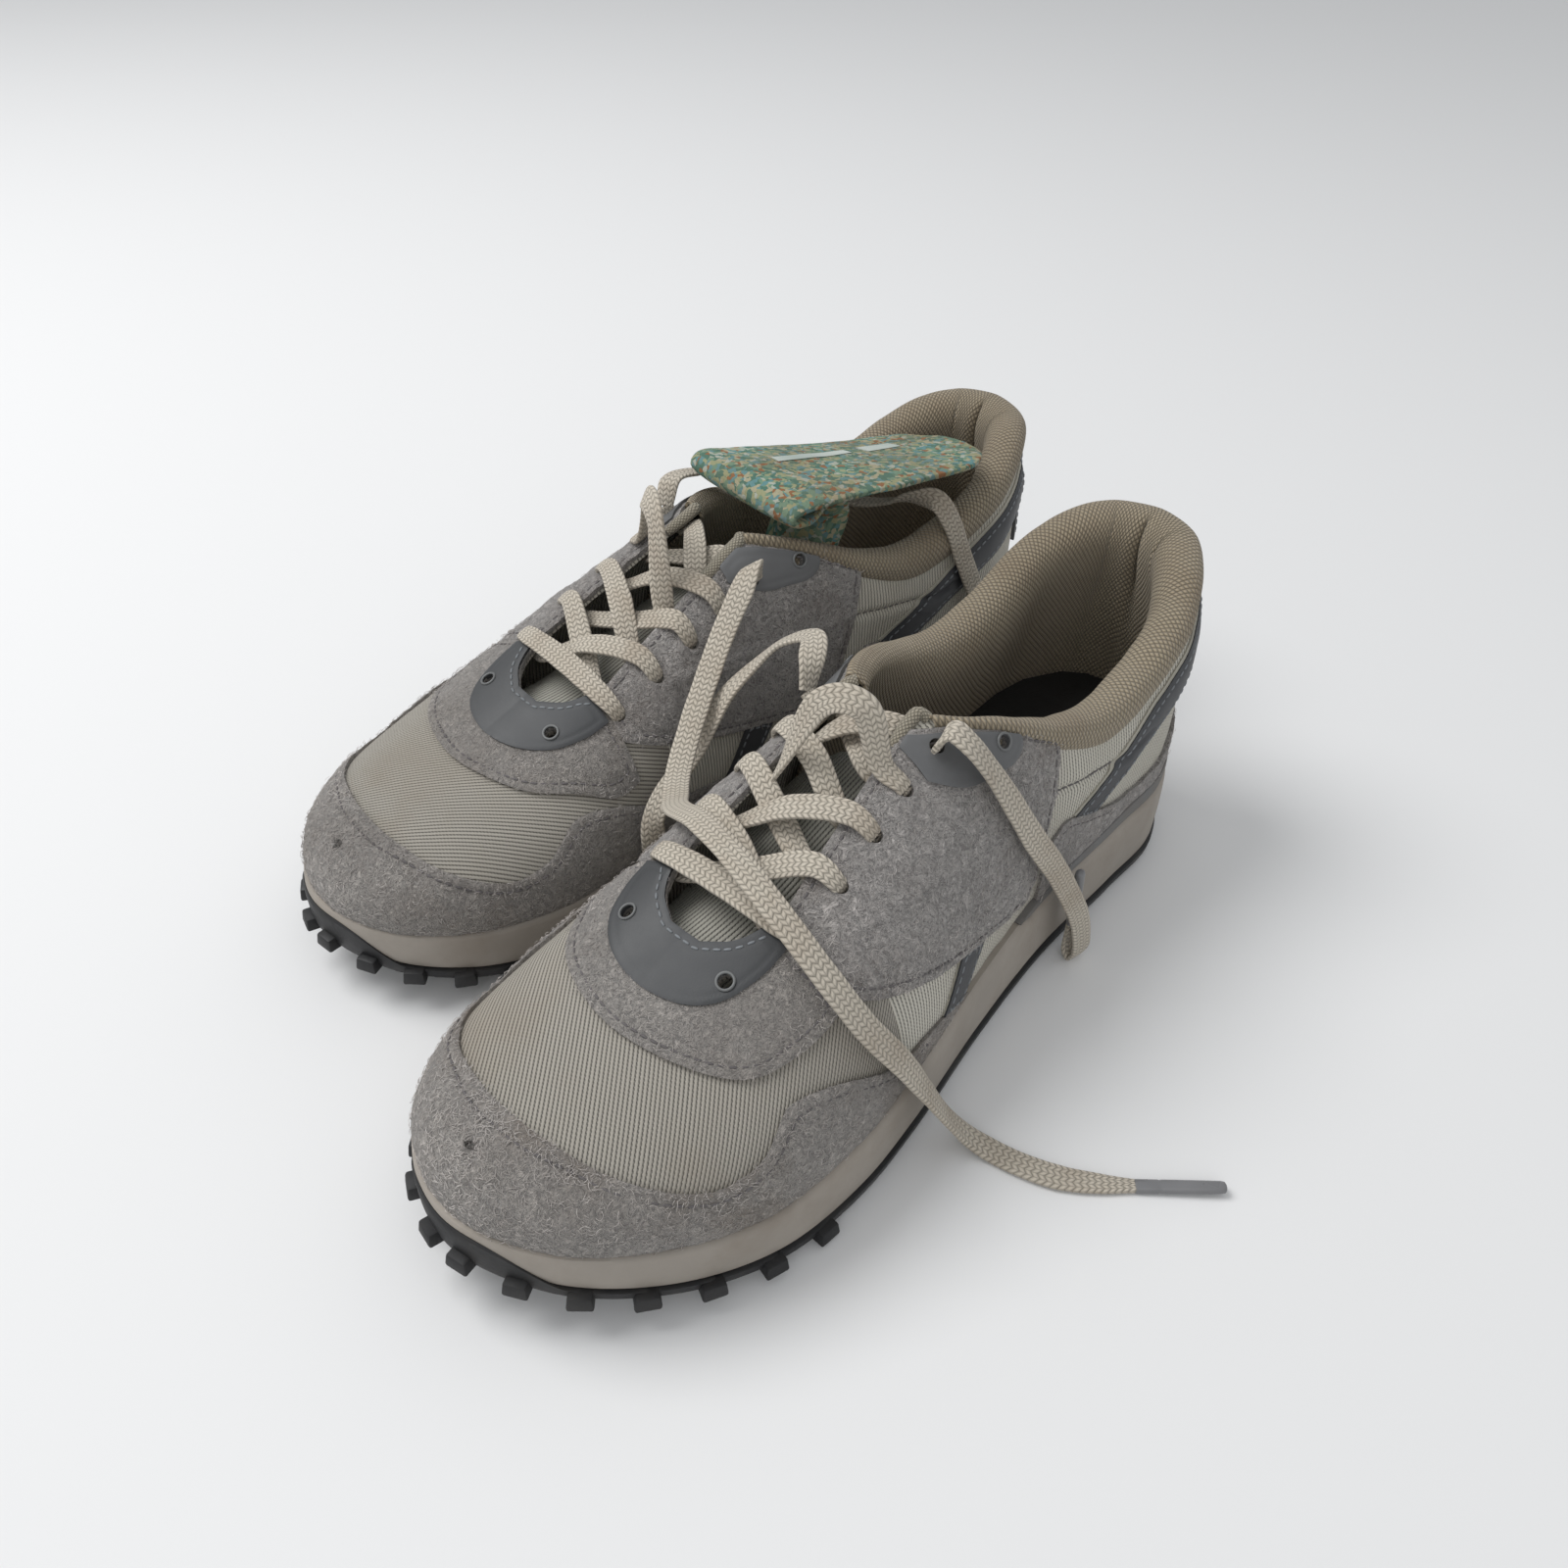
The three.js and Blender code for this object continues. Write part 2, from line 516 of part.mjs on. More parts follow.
function solePieces() {
  const outTop = GAP + OUTSOLE_THICKNESS;
  let outsole = solePrism(0.5).intersect(between(groundLine(0), groundLine(OUTSOLE_THICKNESS)));
  for (const side of [-1, 1]) {
    for (let k = 0; k < LUGS_PER_SIDE; k += 1) {
      const u = LAST_STATION - 0.22 - k * 0.55;
      const p = edgePoint(u, side, 0);
      const q = edgePoint(u, side, 1);
      const lug = new THREE.BoxGeometry(LUG_SIZE.out * 2, LUG_SIZE.along, LUG_SIZE.tall);
      lug.rotateZ(Math.atan2(p.y - q.y, p.x - q.x));
      lug.translate(p.x, p.y, groundHeight(p.y) + LUG_SIZE.tall / 2 + 0.6);
      outsole = outsole.add(toManifold(lug).subtract(between(groundLine(OUTSOLE_THICKNESS), groundLine(60))));
    }
  }
  const wedgeLine = (lift) => [
    [60, featherHeight(0) - WEDGE_THICKNESS + lift],
    [0, featherHeight(0) - WEDGE_THICKNESS + lift],
    [-WEDGE_LENGTH, featherHeight(-WEDGE_LENGTH * along) - WEDGE_THIN_END + lift],
  ];
  const wedgeZone = (lift, reach) => sidePrism([
    ...wedgeLine(lift), [-WEDGE_LENGTH - reach, wedgeLine(lift)[2][1]], [-WEDGE_LENGTH - reach, 90], [60, 90],
  ], -HALF, HALF);
  const belowFeather = between(featherLine(-60), featherLine(0));
  const wedge = solePrism(MIDSOLE_INSET + 1).intersect(belowFeather).intersect(wedgeZone(0, 0));
  const midsole = solePrism(MIDSOLE_INSET).intersect(belowFeather)
    .subtract(between(groundLine(-60), groundLine(outTop))).subtract(wedgeZone(-GAP, GAP));
  return { outsole, midsole, heel_wedge: wedge };
}

// ---------------------------------------------------------------- pull loop

const LOOP = { low: 72, high: 92, depth: 7, wall: 1.6, width: 10 };
function pullLoop() {
  const outline = (inset) => {
    const z0 = raised(0, LOOP.low) + inset;
    const z1 = raised(0, LOOP.high) - inset;
    return [[inset * 0.6, z0], [LOOP.depth - inset - 2, z0 + 1.5], [LOOP.depth - inset, (z0 + z1) / 2],
      [LOOP.depth - inset - 2, z1 - 1.5], [inset * 0.6, z1]];
  };
  const back = heelBackAt(raised(0, (LOOP.low + LOOP.high) / 2), OVERLAY[1]) + GAP * 2;
  const shape = new THREE.Shape(outline(0).map(([y, z]) => new THREE.Vector2(y, z)));
  shape.holes.push(new THREE.Path(outline(LOOP.wall).map(([y, z]) => new THREE.Vector2(y, z))));
  const geometry = new THREE.ExtrudeGeometry(shape, { depth: LOOP.width, bevelEnabled: false });
  geometry.applyMatrix4(new THREE.Matrix4().set(
    0, 0, 1, -LOOP.width / 2, 1, 0, 0, back, 0, 1, 0, 0, 0, 0, 0, 1));
  return toManifold(geometry).subtract(formSolid(OVERLAY[1] + GAP, 10));
}

// Furthest-back y of the heel seam at a height
function heelBackAt(z, lift) {
  let best = -Infinity;
  for (let t = 0; t <= 1; t += 0.01) {
    const p = offsetPoint(0, 1, t, lift);
    if (Math.abs(p.z - z) < 3) best = Math.max(best, p.y);
  }
  return best;
}

// ---------------------------------------------------------------- laces

// Round tube with a ring at each point
function tube(points, radius, sides = 8) {
  let across0 = new THREE.Vector3(0.3, 0.5, 1);
  const rings = points.map((p, i) => {
    const tangent = points[Math.min(i + 1, points.length - 1)].clone()
      .sub(points[Math.max(i - 1, 0)]).normalize();
    const right = across0.clone().cross(tangent).normalize();
    const up = tangent.clone().cross(right);
    across0 = up;
    return Array.from({ length: sides }, (_, k) => {
      const turn = (2 * Math.PI * k) / sides;
      return p.clone()
        .addScaledVector(right, radius * Math.cos(turn))
        .addScaledVector(up, radius * Math.sin(turn));
    });
  });
  return toManifold(ringSolid(rings));
}

// Points of one pass through an eyelet, from above the stay to below it, over and under its free edge
function eyeletPass(k, side) {
  const { point, normal } = eyelet(EYELET_ROWS[k], side);
  const inward = new THREE.Vector3(-side, 0, 0);
  inward.addScaledVector(normal, -inward.dot(normal)).normalize();
  const top = k === TIED_ROWS - 1 ? TOP_PATCH[1] : OVERLAY[1];
  const room = GAP + LACE_RADIUS;
  const at = (inset, height) => point.clone().addScaledVector(inward, inset).addScaledVector(normal, height);
  return [
    at(EYELET_INSET, top + room + 2), at(1.5, top + room + 1.6), at(-0.5, top / 2),
    at(1.5, -room - 2.2), at(EYELET_INSET + 1.5, -room - 2.4),
  ];
}

// Both strands run up the throat from the bar at its toe end; the last crossing of the inner strand is slack
const SLACK_RISE = 24;
function lacedPath() {
  const strand = (firstSide, cross) => {
    const points = [];
    let side = firstSide;
    for (let k = 0; k < TIED_ROWS; k += 1) {
      const pass = eyeletPass(k, side);
      const last = k === TIED_ROWS - 1;
      points.push(...(last ? [...pass.slice(2).reverse(), laceExit(side)] : pass));
      if (!last) {
        const next = eyeletPass(k + 1, -side);
        const toLast = k === TIED_ROWS - 2;
        const here = points.at(-1);
        const there = toLast ? next.at(-1) : next[0];
        const slack = k === TIED_ROWS - 3 && cross < 0;
        for (const share of slack ? [0.4, 0.6, 0.8, 1] : [0.5]) {
          const middle = here.clone().lerp(there, share);
          middle.z += slack ? SLACK_RISE * Math.sin(Math.PI * (0.1 + 0.75 * share)) : cross + 2;
          points.push(middle);
        }
      }
      side = -side;
    }
    return points;
  };
  const outer = strand(1, 2.2);
  const inner = strand(-1, -2.2);
  const bar = outer[0].clone().lerp(inner[0], 0.5);
  bar.z += 1.5;
  return [...outer.reverse(), bar, ...inner];
}

// Where a free end leaves the top tied eyelet
function laceExit(side) {
  const { point, normal } = eyelet(EYELET_ROWS[TIED_ROWS - 1], side);
  return point.clone().addScaledVector(normal, TOP_PATCH[1] + 2);
}

// Free ends, as points in the left shoe's frame, each leaving a top eyelet and ending at its aglet's mouth;
// the last entry is where the aglet's tip lies
const FREE_ENDS = {
  left_lace_end_a: { side: 1, points: [
    [20, -141.5, 101.5], [25, -140, 99], [30, -136, 91], [35, -131, 80], [39.5, -124, 66],
    [42.5, -115, 52], [44.5, -106, 37], [46, -98, 22], [46.5, -94, 10], [46, -92.5, 4.5],
    [44.2, -92, 2.2], [42.2, -92, 4], [41.7, -92.3, 9], [41.6, -93, 15],
  ], tip: [42, -96, 37] },
  left_lace_end_b: { side: -1, points: [
    [-30, -138, 97.5], [-36, -131, 99], [-46, -131, 93], [-54, -134, 83], [-59, -141, 73.5],
    [-60.2, -147, 66], [-60.4, -153, 59], [-60.3, -160, 53.5], [-60, -167, 49], [-60, -171, 43],
    [-59.5, -172, 34], [-59, -171, 24], [-57.5, -166, 12], [-56.5, -158, 4], [-56, -148, 2.1],
    [-55, -130, 2.1], [-54, -112, 2.1],
  ],
    tip: [-53, -90, 2.1] },
  right_lace_end_a: { side: -1, points: [
    [-76, -113, 98], [-73, -121, 93.5], [-70.5, -131, 85], [-66, -143, 75.5], [-61, -154, 68],
    [-54, -166, 62], [-44, -177, 64], [-34, -186, 71], [-20, -192, 79], [-4, -197, 81.5],
    [11, -201, 80], [24, -203, 75.5], [35, -202.5, 67.5], [44, -199, 56], [50.5, -191.5, 42],
    [54.5, -184, 27], [57.5, -177, 13], [61.5, -172, 4], [68, -169.5, 2.1], [77, -167.5, 2.1],
    [86, -164, 2.1], [95, -158, 2.1], [103, -151.5, 2.1],
  ],
    tip: [118, -138.5, 2.1] },
  right_lace_end_b: { side: 1, points: [
    [-127, -98, 103], [-127.5, -87, 102], [-123, -76, 100], [-118, -63, 94.5], [-113, -51, 89.5],
    [-105, -43, 86], [-94, -37, 85.5], [-84, -34, 88.5], [-75, -33, 92.5], [-67.5, -31, 93.5],
    [-62.5, -28, 86], [-59.5, -24, 74], [-57, -18, 60], [-55, -11, 46], [-53.5, -3, 32],
    [-52.5, 4, 19], [-51.5, 10, 8], [-50, 15, 2.3], [-46, 25, 2.1], [-41, 34, 2.1],
  ], tip: [-32, 54, 2.1] },
};
const vectors = (points) => points.map((p) => new THREE.Vector3(...p));

function freeEnd(name, start) {
  const { points, tip } = FREE_ENDS[name];
  const [first, ...rest] = vectors(points);
  const leave = start.clone().lerp(first, LACE_RADIUS / start.distanceTo(first));
  const end = rest.at(-1);
  const reach = new THREE.Vector3(...tip).sub(end).normalize();
  const mouth = end.clone().addScaledVector(reach, GAP);
  return {
    lace: tube([leave, first, ...rest], LACE_RADIUS),
    aglet: tube([mouth, mouth.clone().addScaledVector(reach, AGLET_LENGTH)], AGLET_RADIUS),
  };
}

// ---------------------------------------------------------------- materials

const material = (color, roughness) => new THREE.MeshStandardMaterial({ color, roughness });
const MATERIALS = {
  outsole: material(0x1b1a1c, 0.75), midsole: material(0xd9d2c4, 0.7), heel_wedge: material(0x8d8a88, 0.7),
  lasting_board: material(0xc9c2b4, 0.9), insole: material(0x24221f, 0.95), vamp: material(0xcfcac0, 0.9),
  quarter: material(0xcfcac0, 0.9), heel_counter: material(0xbab6ac, 0.6), suede: material(0x9b948f, 1),
  grey: material(0x66686b, 0.5), lining: material(0xb7aa92, 0.95), tongue: material(0xc4beb2, 0.95),
  lace: material(0xd8cfc0, 0.9), aglet: material(0x8d8c8b, 0.35), foam: material(0x6f8474, 0.95),
};
const MATERIAL_OF = [
  [/outsole/, 'outsole'], [/midsole/, 'midsole'], [/wedge/, 'heel_wedge'], [/board/, 'lasting_board'],
  [/right_insole/, 'foam'], [/insole/, 'insole'], [/vamp/, 'vamp'], [/quarter/, 'quarter'],
  [/counter/, 'heel_counter'], [/mudguard|stay|foxing/, 'suede'], [/patch|strap|tab|loop/, 'grey'],
  [/padding/, 'lining'], [/tongue/, 'tongue'], [/lace/, 'lace'], [/aglet/, 'aglet'],
];

// ---------------------------------------------------------------- assembly

function shoeSolids() {
  return {
    ...solePieces(), ...insidePieces(), ...upperPieces(),
    tongue: strip(TONGUE_PATH, () => THROAT_X, TONGUE),
    pull_loop: pullLoop(),
    lace_laced: tube(lacedPath(), LACE_RADIUS),
  };
}

function addMesh(group, name, manifold) {
  const slot = MATERIAL_OF.find(([pattern]) => pattern.test(name))[1];
  const mesh = new THREE.Mesh(toGeometry(manifold), MATERIALS[slot]);
  mesh.name = name;
  group.add(mesh);
}

const solids = shoeSolids();
const pair = new THREE.Group();

const left = new THREE.Group();
const leftSolids = { ...solids, insole: flatInsole() };
for (const [name, solid] of Object.entries(leftSolids)) addMesh(left, `left_${name}`, solid);
pair.add(left);

const right = new THREE.Group();
const mirrored = (solid) => solid.mirror([1, 0, 0]);
const BEND = 14;
const DRIFT = 0.8;
const insoleDrift = (i) => THROAT_X - Math.max(0, i - BEND) * DRIFT;
const rightSolids = { ...solids, insole: strip(PULLED_INSOLE_PATH, insoleDrift, INSOLE) };
for (const [name, solid] of Object.entries(rightSolids)) addMesh(right, `right_${name}`, mirrored(solid));
right.position.set(PAIR_NEST - BALL_WIDTH, RIGHT_SHOE.y, 0);
right.rotation.z = THREE.MathUtils.degToRad(RIGHT_SHOE.yaw);
right.updateMatrixWorld(true);
pair.add(right);

// Origin: middle of the pair's footprint without its free laces, on the ground
const centre = new THREE.Box3().setFromObject(pair, true).getCenter(new THREE.Vector3());

for (const [name, { side }] of Object.entries(FREE_ENDS)) {
  const isRight = name.startsWith('right');
  const start = laceExit(side);
  if (isRight) start.setX(-start.x).applyMatrix4(right.matrixWorld);
  const { lace, aglet } = freeEnd(name, start);
  addMesh(pair, name, lace);
  addMesh(pair, name.replace('lace_end', 'aglet'), aglet);
}
pair.position.set(-centre.x, -centre.y, 0);

export default pair;
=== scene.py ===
import math

import bpy
import bmesh
import numpy as np
from mathutils import Matrix, Vector


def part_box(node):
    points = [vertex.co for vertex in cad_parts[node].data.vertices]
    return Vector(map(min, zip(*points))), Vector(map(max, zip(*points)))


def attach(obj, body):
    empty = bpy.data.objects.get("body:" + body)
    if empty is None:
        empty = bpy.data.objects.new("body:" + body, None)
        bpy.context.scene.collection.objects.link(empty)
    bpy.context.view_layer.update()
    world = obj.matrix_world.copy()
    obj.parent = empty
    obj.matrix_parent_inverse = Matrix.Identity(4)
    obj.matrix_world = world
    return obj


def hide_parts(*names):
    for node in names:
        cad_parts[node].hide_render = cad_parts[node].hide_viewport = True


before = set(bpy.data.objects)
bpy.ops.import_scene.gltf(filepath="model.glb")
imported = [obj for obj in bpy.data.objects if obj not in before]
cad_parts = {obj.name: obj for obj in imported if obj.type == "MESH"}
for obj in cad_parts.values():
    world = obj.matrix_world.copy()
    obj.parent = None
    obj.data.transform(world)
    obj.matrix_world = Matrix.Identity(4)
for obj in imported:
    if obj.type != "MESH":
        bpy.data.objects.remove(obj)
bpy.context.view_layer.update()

# A pair of low-cut lace-up running shoes. Patterns are drawn in millimetres in the left shoe's own frame:
# heel at the origin, toe towards -Y, outer side towards +X, ground at z = 0.
MM = 0.001
tongue_low, tongue_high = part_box("left_tongue")
ORIGIN = np.array([(tongue_low.x + tongue_high.x) / 2 / MM + 4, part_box("left_midsole")[1].y / MM + 1, 0])
RIGHT_PLACE = np.array([-89, 36, 0])
RIGHT_TURN = math.radians(-6.8)

# ------------------------------------------------------------------ camera

LENS = 30.46
CAMERA_AT = np.array([164.058, -372.051, 299.918])
AZIMUTH, ELEVATION, ROLL = 0.71252, 0.68155, 0.04176


def add_camera():
    back = Vector((math.sin(AZIMUTH) * math.cos(ELEVATION), -math.cos(AZIMUTH) * math.cos(ELEVATION),
                   math.sin(ELEVATION)))
    level = Vector((0, 0, 1)).cross(back).normalized()
    upward = back.cross(level)
    right = math.cos(ROLL) * level + math.sin(ROLL) * upward
    up = -math.sin(ROLL) * level + math.cos(ROLL) * upward
    data = bpy.data.cameras.new("camera")
    data.lens = LENS
    data.sensor_width = 36
    camera = bpy.data.objects.new("camera", data)
    place = (CAMERA_AT + ORIGIN) * MM
    camera.matrix_world = Matrix((
        (right.x, up.x, back.x, place[0]), (right.y, up.y, back.y, place[1]),
        (right.z, up.z, back.z, place[2]), (0, 0, 0, 1)))
    bpy.context.scene.collection.objects.link(camera)
    bpy.context.scene.camera = camera


add_camera()

# ------------------------------------------------------------------ curves and fields


def curve(points, shares, closed=False):
    """Smooth line through points, read at shares of its spans from 0 to 1."""
    P = np.asarray(points, float)
    spans = len(P) if closed else len(P) - 1
    at = np.asarray(shares, float) * spans
    i = np.floor(at).astype(int)
    if closed:
        rest = at - i
        p0, p1, p2, p3 = (P[(i + k) % len(P)] for k in (-1, 0, 1, 2))
    else:
        i = np.clip(i, 0, spans - 1)
        rest = at - i
        longer = np.vstack([2 * P[0] - P[1], P, 2 * P[-1] - P[-2]])
        p0, p1, p2, p3 = (longer[i + k] for k in (0, 1, 2, 3))

    def reach(a, b):
        return (((b - a) ** 2).sum(-1, keepdims=True)) ** 0.25

    d0, d1, d2 = reach(p0, p1), reach(p1, p2), reach(p2, p3)
    d1 = np.where(d1 < 1e-4, 1, d1)
    d0 = np.where(d0 < 1e-4, d1, d0)
    d2 = np.where(d2 < 1e-4, d1, d2)
    t1 = ((p1 - p0) / d0 - (p2 - p0) / (d0 + d1) + (p2 - p1) / d1) * d1
    t2 = ((p2 - p1) / d1 - (p3 - p1) / (d1 + d2) + (p3 - p2) / d2) * d1
    w = rest[..., None]
    return p1 + t1 * w + (3 * p2 - 3 * p1 - 2 * t1 - t2) * w**2 + (2 * p1 - 2 * p2 + t1 + t2) * w**3


def smooth(points, count):
    return curve(points, np.linspace(0, 1, count))


def lengths(points):
    """Distance along a polyline at each of its points."""
    return np.concatenate([[0], np.cumsum(np.linalg.norm(np.diff(points, axis=0), axis=1))])


def even(points, step):
    """The polyline's points, about step apart."""
    along = lengths(points)
    at = np.linspace(0, along[-1], max(2, int(along[-1] / step) + 1))
    return np.stack([np.interp(at, along, points[:, k]) for k in range(points.shape[1])], 1)


def unit(v):
    return v / np.maximum(np.linalg.norm(v, axis=-1, keepdims=True), 1e-12)


def settle(rows, rounds):
    """Rows moved towards the mean of their neighbours, both ends kept."""
    rows = rows.copy()
    for _ in range(rounds):
        rows[1:-1] = (rows[:-2] + 2 * rows[1:-1] + rows[2:]) / 4
    return rows


def bump(x, centre, width):
    return np.exp(-(((x - centre) / width) ** 2))


def ease(x, low, high):
    w = np.clip((x - low) / (high - low), 0, 1)
    return w * w * (3 - 2 * w)


def field(flat, outline):
    """Distance of 2-D points inside a closed outline, negative outside."""
    outline = np.asarray(outline, float)
    far = np.full(len(flat), 1e9)
    inside = np.zeros(len(flat), bool)
    for (ax, ay), (bx, by) in zip(outline, np.roll(outline, -1, 0)):
        dx, dy = bx - ax, by - ay
        if dx == 0 and dy == 0:
            continue
        px, py = flat[:, 0] - ax, flat[:, 1] - ay
        w = np.clip((px * dx + py * dy) / (dx * dx + dy * dy), 0, 1)
        far = np.minimum(far, (px - w * dx) ** 2 + (py - w * dy) ** 2)
        if dy != 0:
            inside ^= ((ay > flat[:, 1]) != (by > flat[:, 1])) & (px < dx * py / dy)
    return np.where(inside, 1, -1) * np.sqrt(far)


LATTICE = np.random.RandomState(7).rand(48, 48, 48)


def lumps(points, size):
    """Smooth noise from -1 to 1 with lumps of a size in millimetres."""
    p = points / size + 500
    i = np.floor(p).astype(int)
    w = p - i
    w = w * w * (3 - 2 * w)
    total = 0
    for dx in (0, 1):
        for dy in (0, 1):
            for dz in (0, 1):
                share = (w[:, 0] if dx else 1 - w[:, 0]) * (w[:, 1] if dy else 1 - w[:, 1])
                share = share * (w[:, 2] if dz else 1 - w[:, 2])
                total = total + share * LATTICE[(i[:, 0] + dx) % 48, (i[:, 1] + dy) % 48, (i[:, 2] + dz) % 48]
    return 2 * total - 1


# ------------------------------------------------------------------ foot form

LENGTH = 292
EDGE = [[0, 0, 0], [-6, 20, -21], [-30, 35, -36], [-60, 37, -37], [-100, 38, -38], [-140, 43, -41],
        [-180, 50, -47], [-205, 52.5, -51], [-235, 50, -52], [-262, 38, -46], [-282, 19, -31], [-291, -6, -6]]
RIDGE = [[-1, -10, 128], [-2, -14, 130], [-5, -34, 134], [-7, -62, 133], [-6, -98, 117], [-4, -136, 100],
         [-4, -172, 81], [-4, -198, 67], [-4, -229, 53], [-5, -257, 46], [-6, -273, 41.5], [-6, -280, 38]]
FULLNESS = [[.5, .75, 2], [.5, .75, 2], [.55, .75, 2], [.55, .72, 2], [.5, .66, 2.5], [.45, .62, 3],
            [.5, .58, 3], [.55, .56, 3], [.62, .6, 3.5], [.65, .6, 3.5], [.65, .6, 3], [.6, .6, 2]]
LAST = len(EDGE) - 1
EDGE_LOOP = [[outer, y, 0] for y, outer, _ in EDGE] + [[inner, y, 0] for y, _, inner in EDGE[-2:0:-1]]
UPPER_INSET = 6


def edge(u, side, inset):
    """Point of the sole's edge at station u on one side, moved inwards."""
    u = np.asarray(u, float)

    def at(v):
        return curve(EDGE_LOOP, (side * v / (2 * LAST)) % 1, closed=True)

    tangent = at(u + 0.02) - at(u - 0.02)
    inward = unit(np.stack([tangent[..., 1], -tangent[..., 0], 0 * u], -1)) * np.asarray(side)[..., None]
    return at(u) + inward * np.asarray(inset)[..., None]


def feather(y):
    f = np.clip(-y / LENGTH, 0, 1)
    return 37 - 15 * np.minimum(f / 0.79, 1) + 6 * np.maximum(0, (f - 0.79) / 0.21) ** 1.5


def ground(y):
    f = np.clip(-y / LENGTH, 0, 1)
    return 13 * np.maximum(0, (f - 0.702) / 0.298) ** 1.8


def form(u, side, t):
    """Point of the foot form, from the feather line (t = 0) to the ridge (t = 1)."""
    u, side, t = np.broadcast_arrays(np.asarray(u, float), np.asarray(side, float), np.asarray(t, float))
    foot = edge(u, side, UPPER_INSET + 0 * u)
    outward = unit((foot - edge(u, side, UPPER_INSET + 1 + 0 * u)) * [1, 1, 0])
    foot[..., 2] = feather(foot[..., 1])
    ridge = curve(RIDGE, u / LAST)
    wall, crown, bulge = np.moveaxis(curve(FULLNESS, u / LAST), -1, 0)
    low = foot + outward * bulge[..., None]
    low[..., 2] += wall * (ridge[..., 2] - foot[..., 2])
    high = ridge + (foot - ridge) * crown[..., None]
    high[..., 2] = ridge[..., 2]
    t = t[..., None]
    return foot * (1 - t) ** 3 + 3 * low * t * (1 - t) ** 2 + 3 * high * t**2 * (1 - t) + ridge * t**3


def one_normal(u, side, t):
    e = 0.01
    du = form(np.minimum(u + e, LAST), side, t) - form(np.maximum(u - e, 0), side, t)
    dt = form(u, side, np.minimum(t + e, 1)) - form(u, side, np.maximum(t - e, 0))
    return unit(np.cross(du, dt) * -np.asarray(side, float)[..., None])


def normal(u, side, t):
    """Outward normal of the form; the seam lines use the mean of both sides."""
    u, side, t = np.broadcast_arrays(np.asarray(u, float), np.asarray(side, float), np.asarray(t, float))
    n = one_normal(u, side, t)
    seam = (t >= 1) | (u <= 0) | (u >= LAST)
    return np.where(seam[..., None], unit(n + one_normal(u, -side, t)), n)


def even_stations(low, high, step, side=1, t=0.35):
    """Stations u about step apart along the form."""
    u = np.linspace(low, high, 900)
    along = lengths(form(u, side, t))
    return np.interp(np.linspace(0, along[-1], int(along[-1] / step) + 1), along, u)


CELL = 0.8
T_ROWS = 130
stations = even_stations(0, LAST, CELL)
rises = np.linspace(0, 1, T_ROWS + 1)


def build_form():
    """Fine grid over both sides of the form, welded along its seams."""
    U, T = np.meshgrid(stations, rises, indexing="ij")
    points, normals, girth, sides = [], [], [], []
    for side in (-1, 1):
        p = form(U, side, T)
        step = np.linalg.norm(np.diff(p, axis=1), axis=2)
        from_ridge = np.concatenate([np.cumsum(step[:, ::-1], 1)[:, ::-1], 0 * step[:, :1]], 1)
        points.append(p.reshape(-1, 3))
        normals.append(normal(U, side, T).reshape(-1, 3))
        girth.append((side * from_ridge).ravel())
        sides.append(np.full(p.shape[0] * p.shape[1], side))
    points, normals = np.vstack(points), np.vstack(normals)
    _, first, welded = np.unique(np.round(points, 3), axis=0, return_index=True, return_inverse=True)
    welded = welded.ravel()
    n, m = U.shape
    i, j = np.meshgrid(np.arange(n - 1), np.arange(m - 1), indexing="ij")
    a = (i * m + j).ravel()
    quads = np.stack([a, a + m, a + m + 1, a + 1], 1)
    quads = np.vstack([quads, quads[:, ::-1] + n * m])
    return points[first], normals[first], np.concatenate(girth)[first], np.concatenate(sides)[first], welded[quads]


FORM, NORMALS, GIRTH, SIDES, QUADS = build_form()


def soften(values, rounds, share, near):
    """Values near a place moved towards the mean of their neighbours on the grid."""
    ends = np.vstack([QUADS[:, [0, 1]], QUADS[:, [1, 2]], QUADS[:, [2, 3]], QUADS[:, [3, 0]]])
    ends = np.vstack([ends, ends[:, ::-1]])
    ends = ends[near[ends[:, 0]]]
    count = np.maximum(np.bincount(ends[:, 0], minlength=len(values)), 1)[:, None]
    for _ in range(rounds):
        total = np.stack([np.bincount(ends[:, 0], values[ends[:, 1], k], len(values)) for k in range(3)], 1)
        values = values + near[:, None] * share * (total / count - values)
    return values


TIP_REACH = 15
from_tip = np.linalg.norm(FORM - RIDGE[-1], axis=1)
FORM = soften(FORM, 220, 0.95 * (1 - ease(from_tip, 5, TIP_REACH))[:, None], from_tip < TIP_REACH)
corner = FORM[QUADS]
facing_out = np.cross(corner[:, 2] - corner[:, 0], corner[:, 3] - corner[:, 1])
total_out = np.stack([sum(np.bincount(QUADS[:, k], facing_out[:, c], len(FORM)) for k in range(4))
                      for c in range(3)], 1)
NORMALS = np.where((from_tip < TIP_REACH + 3)[:, None], unit(total_out), NORMALS)
NORMALS = unit(soften(NORMALS, 12, 0.8, np.ones(len(FORM), bool)))
CLOTH_TOP = 2
SKIN = FORM + CLOTH_TOP * NORMALS
PLAN = SKIN[:, :2]
SIDE_VIEW = SKIN[:, 1:]

# ------------------------------------------------------------------ making pieces


def to_world(points):
    return (np.asarray(points, float) + ORIGIN) * MM


TO_RIGHT = (Matrix.Translation((ORIGIN + RIGHT_PLACE) * MM) @ Matrix.Rotation(RIGHT_TURN, 4, "Z")
            @ Matrix.Scale(-1, 4, (1, 0, 0)) @ Matrix.Translation(-ORIGIN * MM))


def activate(piece):
    if bpy.context.object and bpy.context.object.mode != "OBJECT":
        bpy.ops.object.mode_set(mode="OBJECT")
    bpy.ops.object.select_all(action="DESELECT")
    piece.select_set(True)
    bpy.context.view_layer.objects.active = piece


